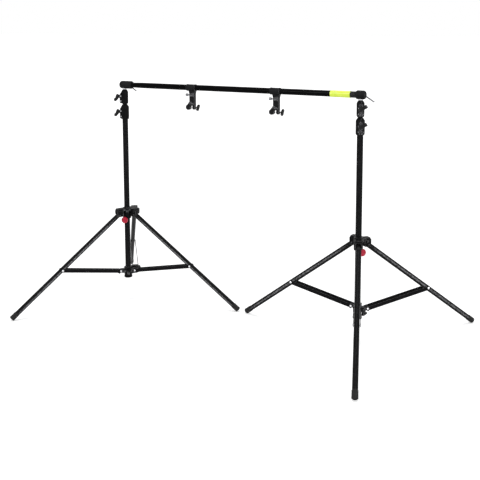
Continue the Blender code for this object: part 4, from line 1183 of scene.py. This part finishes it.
# Crossbar. Three black anodised tubes telescope in each other, and the outer one is drawn in to a
# neck at the left head. Each outer tube ends in a ribbed plastic ring that guides the next.
bar_place = Matrix.Translation((bar_middle.x, bar_middle.y, stand_floor + bar_height)) @ ALONG_X
half_bar = 0.5930
bar_radius = 0.0127
bar_wall = 0.0014
neck_radius = 0.0116
outer_start = -half_bar + 0.0465
neck_end = -half_bar + 0.1050
taper_start = neck_end - 0.0450
ring_start = 0.5505
ring_width = 0.0110
ring_radius = 0.0130
ring_waist = ring_radius - 0.0005
outer_end = ring_start - gap
middle_radius = 0.0110
inner_radius = 0.0094
inner_wall = 0.0013
ring_two_start = ring_start + ring_width + gap
head_start = ring_two_start + ring_width + gap
outer_line = [
    (bar_radius - bar_wall, outer_end),
    (bar_radius, outer_end),
    (bar_radius, neck_end),
    (neck_radius, taper_start),
    (neck_radius, outer_start),
    (neck_radius - bar_wall, outer_start),
    (neck_radius - bar_wall, taper_start),
    (bar_radius - bar_wall, neck_end),
]
for name, node, shape in (
    ("bar_outer", "bar_outer_tube", turned(outer_line, 0.0004, sides=64, ring=True)),
    (
        "bar_middle", "bar_middle_tube",
        tube(middle_radius, middle_radius - inner_wall, neck_end + 0.06, ring_two_start - gap),
    ),
    (
        "bar_inner", "bar_inner_tube",
        tube(inner_radius, inner_radius - inner_wall, neck_end + 0.0950, head_start - gap),
    ),
):
    hand_over(name, shape, bar_place, black_tube, name, node)

rib_tree, rib_sizes = tree_start(
    "grip_ribs", "Radius", "Rib width", "Rib length", "Rib height", whole=("Count",)
)
rib_circle = step(
    rib_tree,
    "GeometryNodeMeshCircle",
    {"Vertices": rib_sizes["Count"], "Radius": rib_sizes["Radius"]},
)
rib_size = step(
    rib_tree,
    "ShaderNodeCombineXYZ",
    {"X": rib_sizes["Rib height"], "Y": rib_sizes["Rib width"], "Z": rib_sizes["Rib length"]},
)
rib = step(rib_tree, "GeometryNodeMeshUVSphere", {"Segments": 8, "Rings": 6, "Radius": 0.5})
rib = step(rib_tree, "GeometryNodeTransform", {"Geometry": rib, "Scale": rib_size})
rib_way = step(rib_tree, "GeometryNodeInputPosition", {})
tree_end(rib_tree, on_points(rib_tree, rib_circle, rib, rib_way, "X"), plastic_black)
for name, node, body, start, bore in (
    ("outer_end_ring", "bar_ring_outer", "bar_outer", ring_start, middle_radius + gap),
    ("middle_end_ring", "bar_ring_middle", "bar_middle", ring_two_start, inner_radius + gap),
):
    ring_line = [
        (bore, start + ring_width),
        (ring_radius, start + ring_width),
        (ring_radius, start + ring_width - 0.0018),
        (ring_waist, start + ring_width - 0.0024),
        (ring_waist, start + 0.0024),
        (ring_radius, start + 0.0018),
        (ring_radius, start),
        (bore, start),
    ]
    ring = turned(ring_line, 0.0005, ring=True)
    hand_over(name, ring, bar_place, plastic_black, body, node)
    ribs = grown(
        rib_tree,
        [((0.0, 0.0, 0.0), (0.0, 0.0, 1.0))],
        count=32,
        radius=ring_waist,
        rib_width=0.0013,
        rib_length=ring_width - 0.0048,
        rib_height=0.0010,
    )
    ring_middle = bar_place @ up(start + ring_width / 2.0)
    hand_over(f"{name}_ribs", ribs, ring_middle, plastic_black, body)

# Label sleeve. A yellow-green plastic film is shrunk round the right end of the outer tube. It
# has a thin gloss and lengthwise creases, and it is bare.
label_length = 0.0870
label_radius = bar_radius + 0.0011
label_bore = bar_radius + gap
lime, lime_tree, lime_shader, lime_made = finish_start("lime_sleeve", 0.0, coat=0.3)
cloud = spread(lime_tree, noise(lime_tree, lime_made, (60.0, 60.0, 30.0), 3.0))
creases = noise(lime_tree, lime_made, (190.0, 190.0, 22.0), 4.0)
scuffs = spread(lime_tree, creases, 0.58, 0.74, 0.0, 0.5)
lime_colour = mixed(lime_tree, cloud, (0.60, 0.78, 0.030), (0.74, 0.90, 0.055))
lime_colour = mixed(lime_tree, scuffs, lime_colour, (0.80, 0.90, 0.32))
finish_end(lime_tree, lime_shader, lime_colour, creases, (0.28, 0.48), creases, 0.00008, 0.6)
label_line = [
    (label_bore, outer_end),
    (label_radius, outer_end),
    (label_radius, outer_end - label_length),
    (label_bore, outer_end - label_length),
]
hand_over(
    "lime_label", turned(label_line, 0.0003, sides=64, ring=True), bar_place,
    (lime, "lime_sleeve"), "bar_outer", "bar_label_sleeve",
)

# Heads. A black casting at each end of the bar: a barrel along the bar with a plug in the tube, a
# socket below for the stand's spigot, and a lug behind for the lever's screw.
head_reach = 0.0208
head_flange_radius = 0.0160
head_recess_radius = 0.0110
head_recess = 0.0020
lug_radius = 0.0075
lever_boss_reach = 0.0215
head_dark = (0.008, 0.008, 0.009)
head_pale = (0.015, 0.015, 0.016)
head_metal = cast_paint("head_cast_paint", head_dark, head_pale, (0.32, 0.46)), "black_casting"


def head(outward, plug_radius, flange_end):
    """A head with the spigot's axis at the origin; outward is -1 for the left, 1 for the right."""
    barrel_line = [
        (0.0, head_reach - head_recess),
        (head_recess_radius - 0.0015, head_reach - head_recess),
        (head_recess_radius, head_reach - head_recess * 0.6),
        (head_recess_radius, head_reach),
        (head_radius - 0.0058, head_reach - 0.0002),
        (head_radius - 0.0030, head_reach - 0.0018),
        (head_radius - 0.0010, head_reach - 0.0045),
        (head_radius, head_reach - 0.0085),
        (head_radius, head_reach - 0.0110),
        (head_radius - 0.0007, head_reach - 0.0118),
        (head_radius - 0.0007, head_reach - 0.0132),
        (head_radius, head_reach - 0.0140),
        (head_radius, -flange_end + 0.0060),
        (head_flange_radius, -flange_end + 0.0020),
        (head_flange_radius - 0.0020, -flange_end),
        (plug_radius, -flange_end),
        (plug_radius, -flange_end - 0.0300),
        (0.0, -flange_end - 0.0300),
    ]
    barrel_turn = ALONG_X if outward > 0 else Matrix.Rotation(math.radians(-90.0), 4, "Y")
    barrel = turned(barrel_line, 0.0008, barrel_turn, 64)
    lug = rod(lug_radius, -0.008, -lever_boss_reach, UPRIGHT, 32, 0.0008)
    spigot_bore = rod(spigot_radius + gap, 0.010, -0.030, sides=48)
    return fused([barrel, lug], [spigot_bore, rod(screw_bore, -0.004, -0.030, UPRIGHT)])


def on_bar(shift):
    """A place on the bar's axis, this far to the right of its middle."""
    return Matrix.Translation((bar_middle.x + shift, bar_middle.y, stand_floor + bar_height))


head_place = {"left": on_bar(-half_bar), "right": on_bar(half_bar)}
for side, outward, plug_radius, flange_end, body in (
    ("left", -1.0, neck_radius - bar_wall - gap, 0.0462, "bar_outer"),
    ("right", 1.0, inner_radius - inner_wall - gap, half_bar - head_start, "bar_inner"),
):
    hand_over(
        f"{side}_head", head(outward, plug_radius, flange_end), head_place[side], head_metal,
        body, f"bar_{side}_head",
    )

# Levers. Each head is locked on its spigot by a steel screw with a thin dull rod for a handle,
# which slopes down to the right behind the head.
lever_length = 0.0540
lever_rod_radius = 0.0030
lever_hub_radius = 0.0065
lever_hub_length = 0.0080
lever_seat = lever_boss_reach + gap
lever_drop = math.radians(31.0)
hub_line = [
    (0.0, -spigot_radius - 0.0004),
    (screw_radius - 0.0006, -spigot_radius - 0.0004),
    (screw_radius, -spigot_radius - 0.0010),
    (screw_radius, -lever_seat),
    (lever_hub_radius, -lever_seat),
    (lever_hub_radius, -lever_seat - lever_hub_length),
    (0.0, -lever_seat - lever_hub_length),
]
rod_line = [
    (0.0, lever_length + 0.0030),
    (lever_rod_radius - 0.0008, lever_length + 0.0024),
    (lever_rod_radius, lever_length),
    (lever_rod_radius, lever_length - 0.0050),
    (lever_rod_radius, 0.0),
    (0.0, 0.0),
]
rod_place = Matrix.Translation((0.0, lever_seat + lever_hub_length / 2.0, 0.0)) @ ALONG_X
for side in SIDES:
    hub = turned(hub_line, 0.0006, UPRIGHT, 32)
    handle = fused([hub, turned(rod_line, 0.0010, rod_place, 20)])
    hand_over(
        f"{side}_lever_handle", handle, head_place[side] @ Matrix.Rotation(lever_drop, 4, "Y"),
        dull_steel, f"{side}_lever", f"bar_{side}_lever",
    )

# Hanging clamps. A black casting with a saddle round the bar, a webbed hanger and a fixed jaw that
# ends in a ball. A wing screw with a steel pad closes the jaw, and a thumb screw locks the saddle.
clamp_offset = 0.2120
saddle_bore = bar_radius + gap
saddle_radius = saddle_bore + 0.0022
saddle_shift = -0.0050
saddle_half = 0.0230
hanger_half = 0.0140
hanger_depth = 0.0130
hanger_bottom = 0.0760
web_depth = 0.0056
jaw_height = 0.0880
jaw_radius = 0.0120
jaw_centre = 0.0215
jaw_face = 0.0095
jaw_root = -hanger_bottom - 0.0045
jaw_boss_start = 0.0030
jaw_boss_end = jaw_boss_start + 0.0110
jaw_boss_radius = 0.0090
jaw_screw_radius = 0.0027
thumb_height = 0.0330
thumb_radius = 0.0062
thumb_reach = 0.0200
thumb_head = 0.0100
thumb_end = -hanger_half - gap - thumb_reach
thumb_neck = thumb_end + thumb_head
clamp_dark = (0.008, 0.008, 0.009)
clamp_pale = (0.016, 0.016, 0.017)
clamp_grey = cast_paint("clamp_cast_paint", clamp_dark, clamp_pale, (0.32, 0.48)), "black_casting"


def clamp_body():
    """The saddle, hanger and ball, bored for the bar and both screws, with webs sunk in."""
    saddle_line = [
        (0.0, saddle_shift + saddle_half),
        (saddle_radius, saddle_shift + saddle_half),
        (saddle_radius, saddle_shift + saddle_half - 0.0050),
        (saddle_radius - 0.0006, saddle_shift + saddle_half - 0.0058),
        (saddle_radius - 0.0006, saddle_shift - saddle_half + 0.0058),
        (saddle_radius, saddle_shift - saddle_half + 0.0050),
        (saddle_radius, saddle_shift - saddle_half),
        (0.0, saddle_shift - saddle_half),
    ]
    outline = [
        (-hanger_half - 0.006, -saddle_bore + 0.006),
        (-hanger_half, -saddle_radius - 0.012),
        (-hanger_half, -hanger_bottom + 0.014),
    ]
    outline += arc((-jaw_centre, -jaw_height), jaw_radius, 110, 320, 24)
    outline += [
        (-jaw_face, -jaw_height - 0.006),
        (-jaw_face, jaw_root - 0.0015),
        (-jaw_face + 0.0015, jaw_root),
        (jaw_boss_start - 0.0015, jaw_root),
        (jaw_boss_start, jaw_root - 0.0015),
        (jaw_boss_start, -jaw_height - jaw_boss_radius),
        (jaw_boss_end, -jaw_height - jaw_boss_radius),
        (hanger_half, -hanger_bottom),
        (hanger_half, -saddle_radius - 0.012),
        (hanger_half + 0.006, -saddle_bore + 0.006),
    ]
    ball_radius = jaw_radius - 0.0002
    ball_line = [(0.0, ball_radius)]
    for index in range(1, 24):
        turn = math.radians(7.5 * index)
        ball_line.append((ball_radius * math.sin(turn), ball_radius * math.cos(turn)))
    ball_line.append((0.0, -ball_radius))
    ball_place = Matrix.Translation((-jaw_centre, 0.0, -jaw_height))
    web = [
        (-hanger_half + 0.0030, -saddle_radius - 0.0250),
        (hanger_half - 0.0030, -saddle_radius - 0.0250),
        (hanger_half - 0.0030, -hanger_bottom + 0.0040),
        (-hanger_half + 0.0030, -hanger_bottom + 0.0160),
    ]
    web = soften(web, 0.0020, closed=True)
    jaw_bore = jaw_screw_radius + gap
    cuts = [
        rod(saddle_bore, 0.06, -0.06, ALONG_X, 64),
        rod(jaw_bore, 0.04, jaw_boss_start - 0.004, up(-jaw_height) @ ALONG_X),
        rod(screw_bore, 0.0020, -0.04, up(-thumb_height) @ ALONG_X),
    ]
    for face in (-1.0, 1.0):
        web_place = Matrix.Translation((0.0, face * hanger_depth / 2.0, 0.0)) @ UPRIGHT
        cuts.append(plate(web, web_depth, web_place, 0.0005))
    return fused(
        [
            turned(saddle_line, 0.0007, ALONG_X, 64),
            plate(outline, hanger_depth, UPRIGHT, 0.0008),
            turned(ball_line, 0.0, ball_place, 40),
        ],
        cuts,
    )


thread_tree, thread_sizes = tree_start("screw_thread", "Turns", "Radius", "Length", "Ridge")
helix = step(
    thread_tree,
    "GeometryNodeCurveSpiral",
    {
        "Resolution": 20,
        "Rotations": thread_sizes["Turns"],
        "Start Radius": thread_sizes["Radius"],
        "End Radius": thread_sizes["Radius"],
        "Height": thread_sizes["Length"],
    },
)
ridge = step(
    thread_tree,
    "GeometryNodeCurvePrimitiveCircle",
    {"Resolution": 6, "Radius": thread_sizes["Ridge"]},
)
thread = step(
    thread_tree,
    "GeometryNodeCurveToMesh",
    {"Curve": helix, "Profile Curve": ridge, "Fill Caps": True},
)
tree_end(thread_tree, thread, zinc_steel)
pad_end = jaw_boss_start - gap
pad_radius = 0.0055
wing_start = 0.0240
wing_plate = 0.0095
wing_middle = wing_start + wing_plate / 2.0
wing_round = 0.0060
wing_end = 0.0150 - wing_round
wing_turn = math.radians(62.0)
wing_hub_radius = 0.0062
shank_radius = jaw_screw_radius - 0.0005
thread_pitch = 0.0010
thread_length = wing_start - jaw_boss_end - 0.0010
pad_line = [
    (0.0, pad_end),
    (pad_radius, pad_end),
    (pad_radius, pad_end - 0.0030),
    (0.0036, pad_end - 0.0030),
    (0.0032, pad_end - 0.0026),
    (0.0, pad_end - 0.0026),
]
wing_outline = arc((0.0, wing_end), wing_round, 0, 180, 14)
wing_outline += arc((0.0, -wing_end), wing_round, 180, 360, 14)
wing_hub_line = [
    (0.0, wing_middle),
    (wing_hub_radius, wing_middle),
    (wing_hub_radius, wing_start - 0.0008),
    (0.0055, wing_start - 0.0015),
    (0.0, wing_start - 0.0015),
]
thumb_line = [
    (0.0, 0.0017),
    (screw_radius - 0.0006, 0.0017),
    (screw_radius, 0.0010),
    (screw_radius, thumb_neck + 0.0030),
    (screw_radius + 0.0012, thumb_neck),
    (thumb_radius, thumb_neck),
    (thumb_radius, thumb_end),
    (0.0, thumb_end),
]
for clamp, shift in (("clamp_1", -clamp_offset), ("clamp_2", clamp_offset)):
    clamp_place = on_bar(shift)
    jaw_place = clamp_place @ up(-jaw_height) @ ALONG_X
    hand_over(f"{clamp}_casting", clamp_body(), clamp_place, clamp_grey, clamp, f"{clamp}_body")
    hand_over(
        f"{clamp}_pad_disc", turned(pad_line, 0.0005, sides=40), jaw_place, black_steel,
        f"{clamp}_pad", f"{clamp}_jaw_pad",
    )
    spindle = rod(shank_radius, wing_start, pad_end + gap)
    ridges = grown(
        thread_tree,
        [((0.0, 0.0, 0.0), (0.0, 0.0, 1.0))],
        turns=thread_length / thread_pitch,
        radius=shank_radius,
        length=thread_length,
        ridge=0.00035,
    )
    thread_mesh = bpy.data.meshes.new("thread")
    ridges.to_mesh(thread_mesh)
    ridges.free()
    thread_mesh.transform(up(jaw_boss_end + 0.0005))
    spindle.from_mesh(thread_mesh)
    bpy.data.meshes.remove(thread_mesh)
    hand_over(f"{clamp}_jaw_spindle", spindle, jaw_place, black_steel, f"{clamp}_screw")
    wing_place = up(wing_middle) @ about_z(wing_turn)
    wing = plate(wing_outline, wing_plate, wing_place, 0.0018, 4)
    hand_over(
        f"{clamp}_wing", fused([wing, turned(wing_hub_line, 0.0006, sides=32)]), jaw_place,
        plastic_black, f"{clamp}_screw", f"{clamp}_jaw_screw",
    )
    hand_over(
        f"{clamp}_thumb_bolt", turned(thumb_line, 0.0006, sides=40),
        clamp_place @ up(-thumb_height) @ ALONG_X, dull_steel,
        f"{clamp}_thumb", f"{clamp}_thumb_screw",
    )
